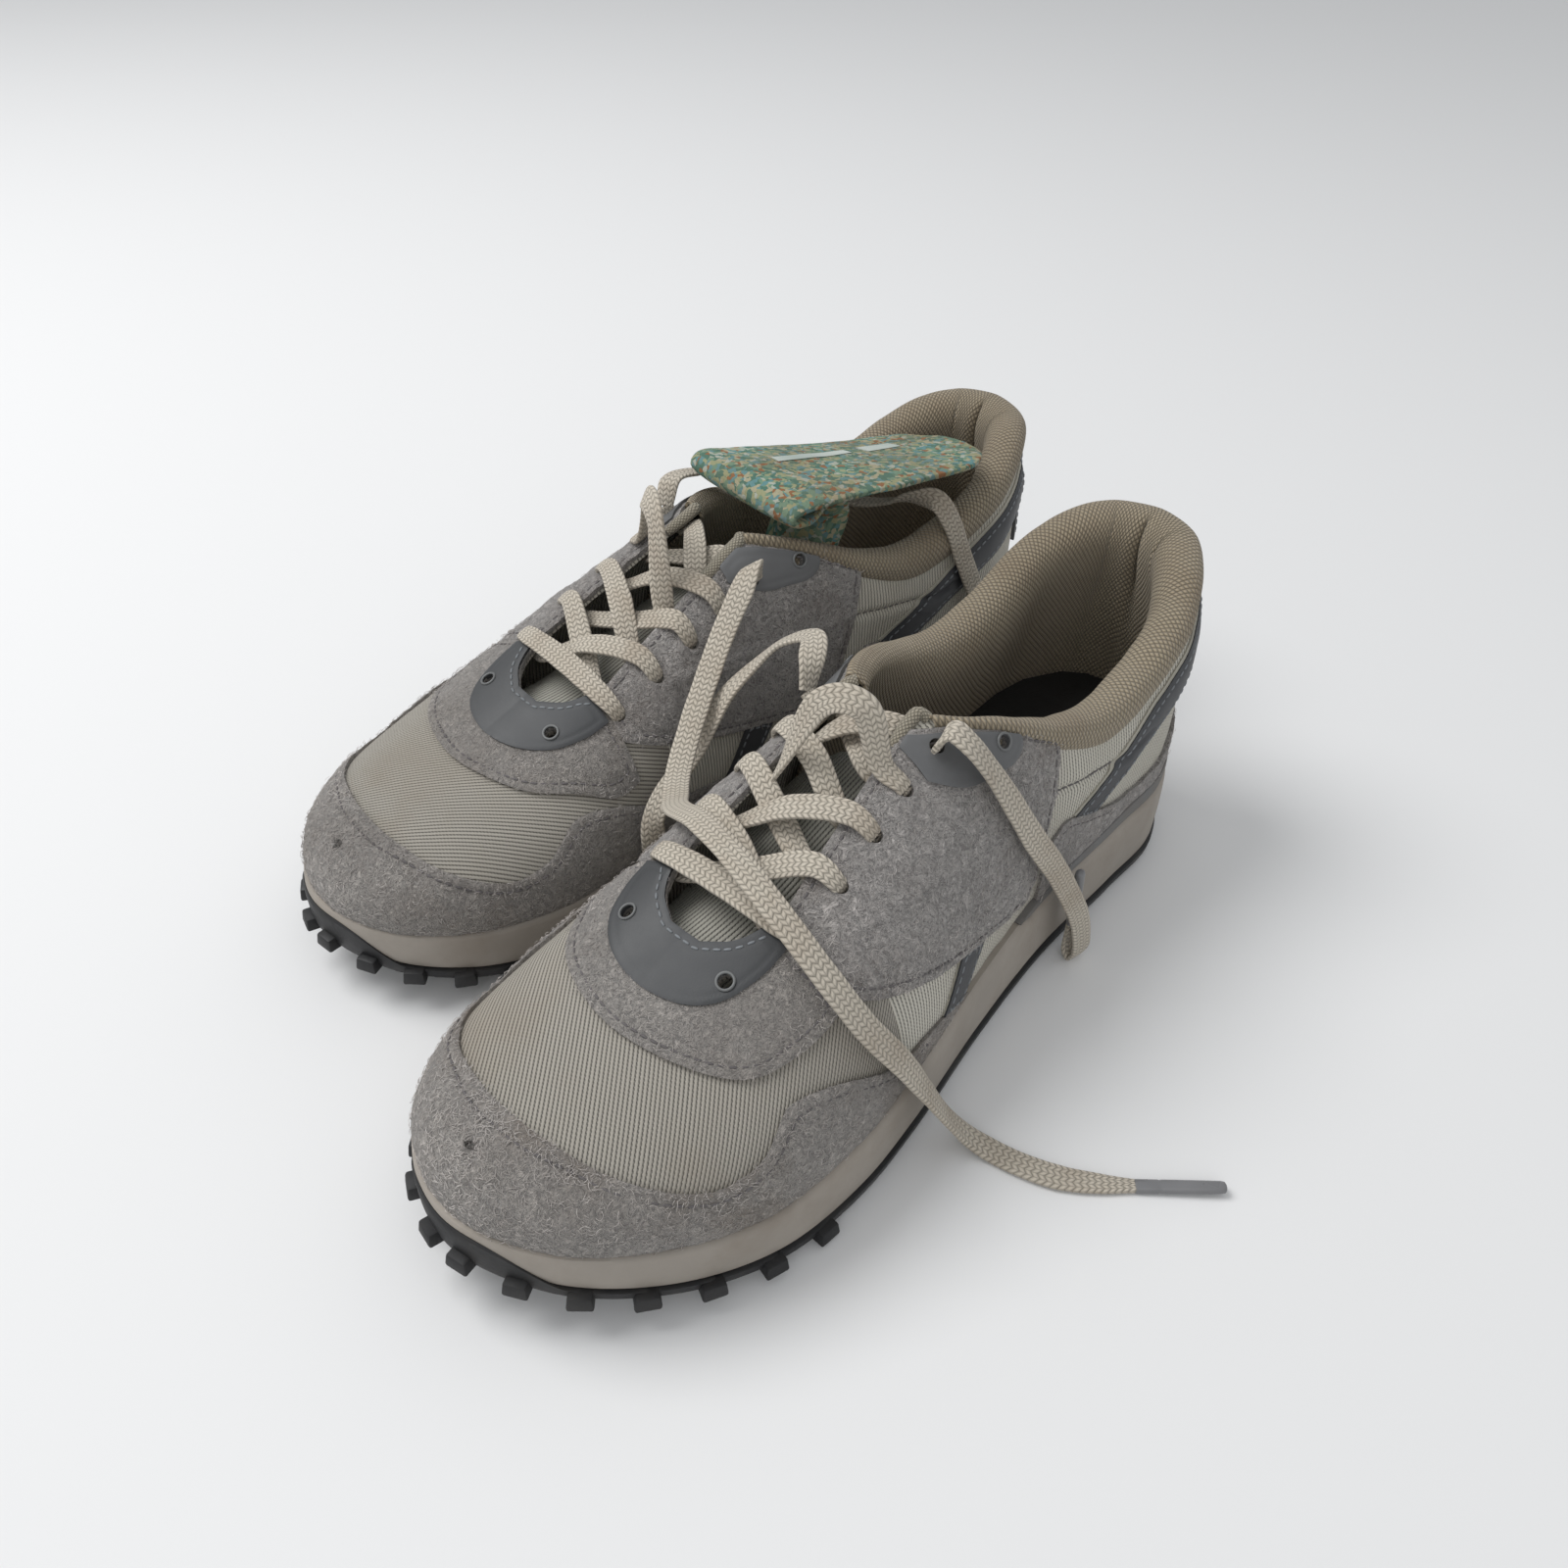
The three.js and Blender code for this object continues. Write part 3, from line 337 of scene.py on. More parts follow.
def new_piece(name, points, faces, uv=None, soil=None):
    """Mesh piece from points in millimetres, with a UV map in metres and a soil value per point."""
    mesh = bpy.data.meshes.new(name)
    mesh.from_pydata(to_world(points).tolist(), [], [list(map(int, f)) for f in faces])
    if uv is not None:
        layer = mesh.uv_layers.new(name="UVMap")
        corners = np.zeros(len(mesh.loops), np.int32)
        mesh.loops.foreach_get("vertex_index", corners)
        layer.data.foreach_set("uv", (np.asarray(uv) * MM)[corners].astype(np.float32).ravel())
    attribute = mesh.attributes.new("soil", "FLOAT", "POINT")
    attribute.data.foreach_set("value", (np.zeros(len(points)) if soil is None else soil).astype(np.float32))
    piece = bpy.data.objects.new(name, mesh)
    bpy.context.scene.collection.objects.link(piece)
    return piece


def weld(piece, reach=0.01):
    work = bmesh.new()
    work.from_mesh(piece.data)
    bmesh.ops.remove_doubles(work, verts=work.verts, dist=reach * MM)
    bmesh.ops.dissolve_degenerate(work, edges=work.edges, dist=reach * MM / 4)
    work.to_mesh(piece.data)
    work.free()


def apply_modifier(piece, kind, **settings):
    activate(piece)
    modifier = piece.modifiers.new(kind, kind)
    for key, value in settings.items():
        setattr(modifier, key, value)
    bpy.ops.object.modifier_apply(modifier=modifier.name)


def finish_piece(piece, material, angle=50):
    activate(piece)
    bpy.ops.object.shade_smooth_by_angle(angle=math.radians(angle))
    piece.data.materials.clear()
    piece.data.materials.append(material)
    return piece


def merge(parts):
    """All parts joined into the first."""
    activate(parts[0])
    for part in parts[1:]:
        part.select_set(True)
    bpy.ops.object.join()


def outward(piece):
    activate(piece)
    bpy.ops.object.mode_set(mode="EDIT")
    bpy.ops.mesh.select_all(action="SELECT")
    bpy.ops.mesh.normals_make_consistent(inside=False)
    bpy.ops.object.mode_set(mode="OBJECT")


def crossings(values):
    """Quads that a field's zero line crosses, as rings of kept corners and numbered cuts."""
    inside = values > 0
    count = inside[QUADS].sum(1)
    cuts, rings, segments = {}, [], []
    for quad in QUADS[(count > 0) & (count < 4)].tolist():
        ring, ends = [], []
        for a, b in zip(quad, quad[1:] + quad[:1]):
            if inside[a]:
                ring.append((a, None))
            if inside[a] != inside[b]:
                key = (min(a, b), max(a, b))
                number = cuts.setdefault(key, len(cuts))
                ring.append((None, number))
                ends.append(number)
        rings.append(ring)
        segments += [ends[k:k + 2] for k in range(0, len(ends) - 1, 2)]
    pairs = np.array(list(cuts), int).reshape(-1, 2)
    w = values[pairs[:, 0]] / (values[pairs[:, 0]] - values[pairs[:, 1]])
    return QUADS[count == 4], rings, segments, pairs, w[:, None]


def panel(name, values, lift, thickness, material, holes=None, soil=None, uv_turn=0.0):
    """Sheet over the form where the field is positive, thickened inwards. lift is a function of the field."""
    cutter = values if holes is None else np.minimum(values, holes)
    whole, rings, _, pairs, w = crossings(cutter)
    used = np.unique(whole)
    used = np.union1d(used, [a for ring in rings for a, _ in ring if a is not None]).astype(int)
    number = {int(a): i for i, a in enumerate(used)}
    renumber = np.zeros(len(FORM), int)
    renumber[used] = np.arange(len(used))

    def both(values):
        share = w if values.ndim > 1 else w[:, 0]
        return np.concatenate([values[used], values[pairs[:, 0]] * (1 - share) + values[pairs[:, 1]] * share])

    base, n = both(FORM), unit(both(NORMALS))
    depth = both(np.maximum(values, 0))
    points = base + n * lift(depth, base)[:, None]
    faces = renumber[whole].tolist()
    faces += [[number[a] if a is not None else len(used) + k for a, k in ring] for ring in rings if len(ring) > 2]
    uv = np.stack([both(GIRTH), base[:, 1]], 1)
    turn = math.radians(uv_turn)
    uv = uv @ np.array([[math.cos(turn), math.sin(turn)], [-math.sin(turn), math.cos(turn)]])
    piece = new_piece(name, points, faces, uv, None if soil is None else soil(base, depth))
    weld(piece)
    apply_modifier(piece, "SOLIDIFY", thickness=thickness * MM, offset=-1)
    return finish_piece(piece, material)


def contour(values, lift, keep=None):
    """Lines on the form where a field is zero, as lists of (points, normals)."""
    _, _, segments, pairs, w = crossings(values)
    if not len(pairs):
        return []
    base = FORM[pairs[:, 0]] * (1 - w) + FORM[pairs[:, 1]] * w
    n = unit(NORMALS[pairs[:, 0]] * (1 - w) + NORMALS[pairs[:, 1]] * w)
    high = np.broadcast_to(lift, len(FORM))[pairs[:, 0]][:, None]
    beside = {}
    for a, b in segments:
        if keep is None or keep(base[a]) and keep(base[b]):
            beside.setdefault(a, []).append(b)
            beside.setdefault(b, []).append(a)
    lines, seen = [], set()
    for start in sorted(beside, key=lambda k: (len(beside[k]), k)):
        if start in seen:
            continue
        line = [start]
        seen.add(start)
        while True:
            ahead = [k for k in beside[line[-1]] if k not in seen]
            if not ahead:
                break
            line.append(ahead[0])
            seen.add(ahead[0])
        if len(line) > 4:
            lines.append((base[line] + n[line] * high[line], n[line]))
    return lines


def tidy_line(points, normals, step):
    """Evenly spaced points and normals along a line."""
    along = lengths(points)
    soft = settle(points, 2)
    at = np.arange(step / 2, along[-1], step)
    return (np.stack([np.interp(at, along, soft[:, k]) for k in range(3)], 1),
            unit(np.stack([np.interp(at, along, normals[:, k]) for k in range(3)], 1)))


STITCH_PITCH = 2.9
STITCH_PROFILE = [(-0.5, 0.35), (-0.38, 0.8), (0, 1.0), (0.38, 0.8), (0.5, 0.35)]


def stitches(name, lines, material, long=2.1, thick=0.32, sink=0.05):
    """Row of short threads lying along each line."""
    points, faces = [], []
    for line, normals in lines:
        spots, up = tidy_line(line, normals, STITCH_PITCH)
        if len(spots) < 5:
            continue
        ahead = unit(np.gradient(spots, axis=0))
        aside = unit(np.cross(ahead, up))
        for p, a, b, c in zip(spots, ahead, aside, up):
            first = len(points)
            for share, girth in STITCH_PROFILE:
                for k in range(6):
                    turn = math.pi * k / 3
                    points.append(p + a * long * share + c * (math.sin(turn) * thick * girth - sink)
                                  + b * math.cos(turn) * thick * girth * 1.25)
            for r in range(4):
                for k in range(6):
                    q = first + 6 * r
                    faces.append([q + k, q + (k + 1) % 6, q + 6 + (k + 1) % 6, q + 6 + k])
            faces.append([first + k for k in range(5, -1, -1)])
            faces.append([first + 24 + k for k in range(6)])
    piece = new_piece(name, np.array(points), faces)
    outward(piece)
    return finish_piece(piece, material, 80)


def tube_faces(rows, count):
    """Quads between neighbouring rings of count points each."""
    return [[r * count + k, r * count + (k + 1) % count, (r + 1) * count + (k + 1) % count, (r + 1) * count + k]
            for r in range(rows - 1) for k in range(count)]


def tube_uv(across, along, rings):
    """UV map of a tube, from the place across it and the run along it."""
    shape = rings.shape[:2]
    return np.stack([np.broadcast_to(across, shape), np.broadcast_to(along[:, None], shape)], -1).reshape(-1, 2)


def squarish(wave, power):
    """Sine or cosine values drawn towards a squarer section."""
    return np.sign(wave) * np.abs(wave) ** power


def sweep(name, rings, material, uv=None, soil=None, angle=60):
    """Tube through rings of equally many points, capped at both ends."""
    rows, count = rings.shape[:2]
    faces = tube_faces(rows, count)
    faces += [list(range(count))[::-1], list(range((rows - 1) * count, rows * count))]
    piece = new_piece(name, rings.reshape(-1, 3), faces, uv, soil)
    outward(piece)
    return finish_piece(piece, material, angle)


def signed(axes):
    """Directions that may point either way, each turned to agree with the one before."""
    axes = np.array(axes, float)
    for i in range(1, len(axes)):
        if axes[i] @ axes[i - 1] < 0:
            axes[i] = -axes[i]
    return axes


def frames(points, axes):
    """Face directions and side directions along a line."""
    ahead = unit(np.gradient(points, axis=0))
    faces = signed(axes)
    faces = unit(faces - ahead * (faces * ahead).sum(1, keepdims=True))
    return faces, np.cross(ahead, faces)


LACE_WIDTH, LACE_THICKNESS = 7.6, 1.5
RING = np.linspace(0, 2 * np.pi, 20, endpoint=False)


def ribbon(name, knots, axes, widths, material, step=0.8):
    """Flat woven lace along knots, with its face turned to the axes. Returns the piece and its centre line."""
    knots, axes = np.array(knots, float), signed(axes)
    fine = np.linspace(0, 1, 24 * len(knots))
    line = curve(knots, fine)
    face = np.stack([np.interp(fine * (len(knots) - 1), np.arange(len(knots)), axes[:, k]) for k in range(3)], 1)
    wide = np.interp(fine * (len(knots) - 1), np.arange(len(knots)), widths)
    along = lengths(line)
    at = np.linspace(0, along[-1], int(along[-1] / step) + 1)
    pick = [np.interp(at, along, v) for v in (*line.T, *face.T, wide)]
    line, face, wide = np.stack(pick[:3], 1), unit(np.stack(pick[3:6], 1)), pick[6]
    for _ in range(4):
        face[1:-1] = unit(face[:-2] + 2 * face[1:-1] + face[2:])
    up, aside = frames(line, face)
    high = LACE_THICKNESS * (LACE_WIDTH / wide) ** 0.6
    across = squarish(np.cos(RING), 0.75)
    over = squarish(np.sin(RING), 0.6)
    wave = 1 + 0.03 * lumps(line, 5)
    rings = (line[:, None] + aside[:, None] * (across * 0.5)[None, :, None] * (wide * wave)[:, None, None]
             + up[:, None] * (over * 0.5)[None, :, None] * high[:, None, None])
    uv = tube_uv(across * 0.5 * LACE_WIDTH, at, rings)
    soil = 0.5 + 0.5 * lumps(np.repeat(line, len(RING), 0), 18)
    return sweep(name, rings, material, uv, soil), line


# ------------------------------------------------------------------ shader helpers


def put(tree, kind, inputs=None, **settings):
    """One shader node with its settings, and its inputs as values or as sockets to join."""
    node = tree.nodes.new("ShaderNode" + kind)
    for key, value in settings.items():
        setattr(node, key, value)
    for key, value in (inputs or {}).items():
        if isinstance(value, bpy.types.NodeSocket):
            tree.links.new(value, node.inputs[key])
        else:
            node.inputs[key].default_value = value
    return node


def calc(tree, operation, *values, clamp=False):
    return put(tree, "Math", dict(enumerate(values)), operation=operation, use_clamp=clamp).outputs[0]


def between(tree, value, low, high, to_low=0.0, to_high=1.0):
    return put(tree, "MapRange", {"Value": value, "From Min": low, "From Max": high, "To Min": to_low,
                                  "To Max": to_high}, interpolation_type="SMOOTHSTEP").outputs[0]


def blend_colours(tree, share, low, high, kind="MIX"):
    node = put(tree, "Mix", data_type="RGBA", blend_type=kind)
    for socket, value in ((node.inputs[0], share), (node.inputs[6], low), (node.inputs[7], high)):
        if isinstance(value, bpy.types.NodeSocket):
            tree.links.new(value, socket)
        elif isinstance(value, (int, float)):
            socket.default_value = value
        else:
            socket.default_value = (*value, 1)
    return node.outputs[2]


def shaded(tree, colour, shade):
    """Colour multiplied by a value."""
    grey = put(tree, "CombineColor", {0: shade, 1: shade, 2: shade}).outputs[0]
    return blend_colours(tree, 1.0, colour, grey, "MULTIPLY")


def noise(tree, vector, scale, detail=2.0, roughness=0.5, distortion=0.0):
    return put(tree, "TexNoise", {"Vector": vector, "Scale": scale, "Detail": detail, "Roughness": roughness,
                                  "Distortion": distortion}).outputs[0]


def group(name, inputs, outputs, build):
    tree = bpy.data.node_groups.new(name, "ShaderNodeTree")
    for key, kind, value in inputs:
        socket = tree.interface.new_socket(name=key, in_out="INPUT", socket_type="NodeSocket" + kind)
        if value is not None:
            socket.default_value = value
    for key, kind in outputs:
        tree.interface.new_socket(name=key, in_out="OUTPUT", socket_type="NodeSocket" + kind)
    start = tree.nodes.new("NodeGroupInput")
    end = tree.nodes.new("NodeGroupOutput")
    for key, socket in build(tree, start.outputs).items():
        tree.links.new(socket, end.inputs[key])
    return tree


def build_nap(tree, given):
    place, scale = given["Vector"], given["Scale"]
    strands = noise(tree, place, scale, 3.0, 0.6, 1.6)
    ridge = calc(tree, "SUBTRACT", 1.0, calc(tree, "ABSOLUTE", calc(tree, "MULTIPLY_ADD", strands, 9.0, -4.5)),
                 clamp=True)
    second = noise(tree, place, calc(tree, "MULTIPLY", scale, 1.9), 2.0, 0.5, 1.2)
    cross = calc(tree, "SUBTRACT", 1.0, calc(tree, "ABSOLUTE", calc(tree, "MULTIPLY_ADD", second, 8.0, -4.0)),
                 clamp=True)
    patches = between(tree, noise(tree, place, calc(tree, "MULTIPLY", scale, 0.16), 3.0), 0.35, 0.65)
    height = calc(tree, "MAXIMUM", ridge, calc(tree, "MULTIPLY", cross, 0.75))
    height = calc(tree, "MULTIPLY", height, calc(tree, "MULTIPLY_ADD", patches, 0.45, 0.55))
    return {"Height": height, "Patches": patches}


def build_ribs(tree, given):
    xy = put(tree, "SeparateXYZ", {0: given["Vector"]})
    across = calc(tree, "DIVIDE", xy.outputs[0], given["Pitch"])
    rib = calc(tree, "ABSOLUTE", calc(tree, "SINE", calc(tree, "MULTIPLY", across, math.pi)))
    shifted = calc(tree, "MULTIPLY_ADD", calc(tree, "FLOOR", across), 0.37,
                   calc(tree, "DIVIDE", xy.outputs[1], calc(tree, "MULTIPLY", given["Pitch"], 0.95)))
    dash = between(tree, calc(tree, "ABSOLUTE", calc(tree, "SINE", calc(tree, "MULTIPLY", shifted, math.pi))),
                   0.35, 0.8)
    # The gap mask marks the valleys between the ribs, broken into dashes along the twill; ribbed() paints shade
    # there, and the mask also deepens the bump.
    valley = between(tree, rib, 0.75, 0.2)
    gap_shade = calc(tree, "MULTIPLY", valley, dash)
    height = calc(tree, "SUBTRACT", calc(tree, "POWER", rib, 0.6), calc(tree, "MULTIPLY", gap_shade, 0.5))
    return {"Height": height, "Gap": gap_shade}


def build_knit(tree, given):
    xy = put(tree, "SeparateXYZ", {0: given["Vector"]})
    x = calc(tree, "DIVIDE", xy.outputs[0], given["Pitch"])
    y = calc(tree, "DIVIDE", xy.outputs[1], calc(tree, "MULTIPLY", given["Pitch"], 1.3))
    a = calc(tree, "SINE", calc(tree, "MULTIPLY", calc(tree, "ADD", x, y), math.pi))
    b = calc(tree, "SINE", calc(tree, "MULTIPLY", calc(tree, "SUBTRACT", x, y), math.pi))
    height = calc(tree, "ABSOLUTE", calc(tree, "MULTIPLY", a, b))
    return {"Height": calc(tree, "POWER", height, 0.5)}


def build_braid(tree, given):
    xy = put(tree, "SeparateXYZ", {0: given["Vector"]})
    zigzag = calc(tree, "DIVIDE", calc(tree, "PINGPONG", xy.outputs[0], 0.00127), 0.00127)
    phase = calc(tree, "MULTIPLY_ADD", zigzag, 0.55, calc(tree, "DIVIDE", xy.outputs[1], 0.0018))
    strand = calc(tree, "ABSOLUTE", calc(tree, "SINE", calc(tree, "MULTIPLY", phase, math.pi)))
    column = between(tree, calc(tree, "ABSOLUTE", calc(tree, "SUBTRACT", zigzag, 0.5)), 0.5, 0.3)
    return {"Height": calc(tree, "MULTIPLY", calc(tree, "POWER", strand, 0.6),
                           calc(tree, "MULTIPLY_ADD", column, 0.45, 0.55))}


def build_soil(tree, given):
    cloud = between(tree, noise(tree, given["Vector"], given["Scale"], 5.0, 0.62), 0.42, 0.7)
    return {"Mask": calc(tree, "MULTIPLY", cloud, given["Amount"], clamp=True)}


def build_grain(tree, given):
    cloud = between(tree, noise(tree, given["Vector"], 35.0, 4.0, 0.6), 0.3, 0.7)
    return {"Cloud": cloud, "Fine": noise(tree, given["Vector"], given["Grain"], 3.0, 0.6)}


VECTOR = ("Vector", "Vector", None)
NAP = group("nap", [VECTOR, ("Scale", "Float", 400.0)], [("Height", "Float"), ("Patches", "Float")], build_nap)
RIBS = group("ribs", [VECTOR, ("Pitch", "Float", 0.0012)], [("Height", "Float"), ("Gap", "Float")], build_ribs)
KNIT = group("knit", [VECTOR, ("Pitch", "Float", 0.0016)], [("Height", "Float")], build_knit)
BRAID = group("braid", [VECTOR], [("Height", "Float")], build_braid)
SOIL = group("soil", [VECTOR, ("Scale", "Float", 30.0), ("Amount", "Float", 0.5)], [("Mask", "Float")],
             build_soil)
GRAIN = group("grain", [VECTOR, ("Grain", "Float", 1400.0)], [("Cloud", "Float"), ("Fine", "Float")], build_grain)


def use(tree, kind, **inputs):
    node = tree.nodes.new("ShaderNodeGroup")
    node.node_tree = kind
    for key, value in inputs.items():
        if isinstance(value, bpy.types.NodeSocket):
            tree.links.new(value, node.inputs[key])
        else:
            node.inputs[key].default_value = value
    return node.outputs


def start_material(name, roughness=0.8, **shader):
    material = bpy.data.materials.new(name)
    material.use_nodes = True
    tree = material.node_tree
    principled = tree.nodes["Principled BSDF"]
    principled.inputs["Roughness"].default_value = roughness
    for key, value in shader.items():
        principled.inputs[key.replace("_", " ")].default_value = value
    coords = put(tree, "TexCoord")
    return material, tree, principled, coords


def wear(tree, colour, place, stain, amount=0.55, scale=28.0):
    """Colour mixed towards a stain where the soil attribute and a cloudy noise say so."""
    worn = put(tree, "Attribute", attribute_name="soil").outputs["Fac"]
    mask = use(tree, SOIL, Vector=place, Scale=scale, Amount=calc(tree, "MULTIPLY_ADD", worn, amount, 0.12))
    return blend_colours(tree, mask["Mask"], colour, stain)


def join(tree, principled, colour, height=None, distance=0.0004, strength=1.0, rough=None):
    tree.links.new(colour, principled.inputs["Base Color"])
    if height is not None:
        node = put(tree, "Bump", {"Height": height, "Distance": distance, "Strength": strength})
        tree.links.new(node.outputs[0], principled.inputs["Normal"])
    if rough is not None:
        tree.links.new(rough, principled.inputs["Roughness"])


def suede(name, dark, light, stain, scale=420.0, depth=0.0007, amount=0.6):
    material, tree, principled, coords = start_material(name, 0.95, Sheen_Weight=0.25, Sheen_Roughness=0.6)
    place = coords.outputs["Object"]
    nap = use(tree, NAP, Vector=place, Scale=scale)
    fine = noise(tree, place, scale * 5, 2.0)
    tone = calc(tree, "MULTIPLY_ADD", nap["Height"], 0.72, calc(tree, "MULTIPLY", fine, 0.28), clamp=True)
    colour = blend_colours(tree, tone, dark, light)
    shade = calc(tree, "MULTIPLY_ADD", noise(tree, place, 38.0, 3.0), 0.34, 0.83)
    colour = shaded(tree, colour, shade)
    colour = wear(tree, colour, place, stain, amount)
    join(tree, principled, colour, calc(tree, "MULTIPLY_ADD", fine, 0.35, nap["Height"]), depth, 0.9)
    return material


def ribbed(name, light, gap_shade, stain, pitch=0.00125, depth=0.00028, amount=0.4, sideways=False):
    material, tree, principled, coords = start_material(name, 0.85, Sheen_Weight=0.08)
    place = coords.outputs["Object"]
    pattern = coords.outputs["UV"]
    if sideways:
        pattern = put(tree, "Mapping", {"Vector": pattern, "Rotation": (0, 0, math.pi / 2)}).outputs[0]
    ribs = use(tree, RIBS, Vector=pattern, Pitch=pitch)
    yarn = noise(tree, place, 2600.0, 1.0)
    # Painted shade: the rib gaps take the darker second colour, and the colour is multiplied down from the rib tops
    # into the valleys; the yarn noise adds tone that differs at random.
    colour = blend_colours(tree, ribs["Gap"], light, gap_shade)
    shade = calc(tree, "MULTIPLY_ADD", yarn, 0.24, calc(tree, "MULTIPLY_ADD", ribs["Height"], 0.12, 0.78))
    colour = shaded(tree, colour, shade)
    colour = wear(tree, colour, place, stain, amount, 22.0)
    join(tree, principled, colour, calc(tree, "MULTIPLY_ADD", yarn, 0.15, ribs["Height"]), depth)
    return material


def knitted(name, dark, light, stain, pitch=0.0017, depth=0.0006, amount=0.4):
    material, tree, principled, coords = start_material(name, 0.9, Sheen_Weight=0.15)
    knit = use(tree, KNIT, Vector=coords.outputs["UV"], Pitch=pitch)
    yarn = noise(tree, coords.outputs["Object"], 2200.0, 1.0)
    tone = calc(tree, "MULTIPLY_ADD", knit["Height"], 0.75, calc(tree, "MULTIPLY", yarn, 0.25), clamp=True)
    colour = wear(tree, blend_colours(tree, tone, dark, light), coords.outputs["Object"], stain, amount, 24.0)
    join(tree, principled, colour, calc(tree, "MULTIPLY_ADD", yarn, 0.2, knit["Height"]), depth)
    return material


def woven_lace(name, dark, light, stain):
    material, tree, principled, coords = start_material(name, 0.88, Sheen_Weight=0.12)
    braid = use(tree, BRAID, Vector=coords.outputs["UV"])
    yarn = noise(tree, coords.outputs["Object"], 2800.0, 1.0)
    # Painted shade and highlight: the braid's grooves take the dark colour and its ridges the light one; the yarn
    # noise adds tone that differs at random.
    tone = calc(tree, "MULTIPLY_ADD", braid["Height"], 0.7, calc(tree, "MULTIPLY", yarn, 0.3), clamp=True)
    colour = wear(tree, blend_colours(tree, tone, dark, light), coords.outputs["Object"], stain, 0.5, 45.0)
    join(tree, principled, colour, calc(tree, "MULTIPLY_ADD", yarn, 0.3, braid["Height"]), 0.0004)
    return material


def smooth_stuff(name, base, dark, rough=(0.4, 0.6), grain=1400.0, depth=0.00006, stain=None, amount=0.3, **shader):
    """Coated cloth, rubber, foam or moulded plastic: fine grain, cloudy tone and uneven gloss."""
    material, tree, principled, coords = start_material(name, 0.5, **shader)
    place = coords.outputs["Object"]
    grains = use(tree, GRAIN, Vector=place, Grain=grain)
    colour = blend_colours(tree, grains["Cloud"], dark, base)
    if stain:
        colour = wear(tree, colour, place, stain, amount, 40.0)
    gloss = calc(tree, "MULTIPLY_ADD", grains["Cloud"], rough[1] - rough[0], rough[0])
    join(tree, principled, colour, grains["Fine"], depth, 1.0, gloss)
    return material


def flecked(name):
    """Foam pressed from shreds of many colours."""
    material, tree, principled, coords = start_material(name, 0.9)
    place = coords.outputs["Object"]
    warped = blend_colours(tree, 0.004, place, put(tree, "TexNoise", {"Vector": place, "Scale": 300.0}).outputs[1],
                           "ADD")
    cells = put(tree, "TexVoronoi", {"Vector": warped, "Scale": 620.0}).outputs["Color"]
    pick = put(tree, "SeparateColor", {0: cells}).outputs
    ramp = put(tree, "ValToRGB", {0: pick[0]})
    ramp.color_ramp.interpolation = "CONSTANT"
    shreds = [(0, (0.05, 0.17, 0.13)), (0.24, (0.14, 0.27, 0.19)), (0.42, (0.1, 0.26, 0.27)),
              (0.58, (0.3, 0.33, 0.19)), (0.72, (0.38, 0.37, 0.25)), (0.85, (0.26, 0.12, 0.05)),
              (0.92, (0.4, 0.45, 0.38))]
    points = ramp.color_ramp.elements
    while len(points) < len(shreds):
        points.new(0.5)
    for point, (at, colour) in zip(points, shreds):
        point.position = at
        point.color = (*colour, 1)
    rust = between(tree, noise(tree, place, 22.0, 3.0), 0.6, 0.72)
    worn = put(tree, "Attribute", attribute_name="soil").outputs["Fac"]
    colour = blend_colours(tree, calc(tree, "MULTIPLY", calc(tree, "MAXIMUM", worn, rust), 0.6), ramp.outputs[0],
                           (0.16, 0.075, 0.03))
    join(tree, principled, colour, calc(tree, "MULTIPLY_ADD", pick[1], 0.6, noise(tree, place, 900.0, 2.0)), 0.0004)
    return material


DUST = (0.2, 0.17, 0.13)
SUEDE_SIDE = suede("suede_side", (0.1, 0.09, 0.086), (0.62, 0.58, 0.55), (0.12, 0.085, 0.06), 300.0, 0.0013)
SUEDE_TOE = suede("suede_toe", (0.1, 0.09, 0.085), (0.5, 0.46, 0.42), (0.17, 0.13, 0.095), 380.0, 0.0009, 0.8)
# The second colour of each ribbed textile is the painted shade in its rib gaps.
TEXTILE_TOE = ribbed("ribbed_textile", (0.36, 0.335, 0.29), (0.13, 0.12, 0.105), (0.24, 0.19, 0.135), 0.00105)
TEXTILE_SIDE = ribbed("ribbed_textile_side", (0.56, 0.535, 0.465), (0.27, 0.255, 0.22), (0.3, 0.24, 0.165),
                      sideways=True, depth=0.0004)
TONGUE_CLOTH = ribbed("tongue_cloth", (0.4, 0.39, 0.34), (0.14, 0.135, 0.12), DUST, 0.0012)
COLLAR_CLOTH = knitted("collar_mesh", (0.11, 0.087, 0.055), (0.43, 0.36, 0.255), (0.19, 0.13, 0.075))
BINDING_CLOTH = knitted("binding_mesh", (0.12, 0.105, 0.075), (0.42, 0.38, 0.3), (0.2, 0.15, 0.1), 0.0011, 0.0004)
# The lace's dark colour is the painted shade between the braid's strands, its light colour the painted highlight on
# their ridges.
LACE_COTTON = woven_lace("cotton_lace", (0.2, 0.18, 0.14), (0.66, 0.595, 0.5), (0.28, 0.21, 0.145))
GREY_SYNTHETIC = smooth_stuff("grey_synthetic", (0.135, 0.137, 0.14), (0.105, 0.107, 0.109), (0.45, 0.58), 2400.0)
DARK_SYNTHETIC = smooth_stuff("throat_synthetic", (0.048, 0.05, 0.053), (0.038, 0.04, 0.042), (0.45, 0.58), 2400.0)
STRAP_SYNTHETIC = smooth_stuff("dark_synthetic", (0.04, 0.042, 0.047), (0.03, 0.032, 0.036), (0.45, 0.55), 2400.0)
PALE_EDGE = smooth_stuff("pale_edge", (0.42, 0.4, 0.34), (0.33, 0.31, 0.26), (0.6, 0.7), 2000.0)
PALE_THREAD = smooth_stuff("pale_thread", (0.22, 0.235, 0.25), (0.17, 0.18, 0.19), (0.6, 0.7), 4000.0, 0.0001)
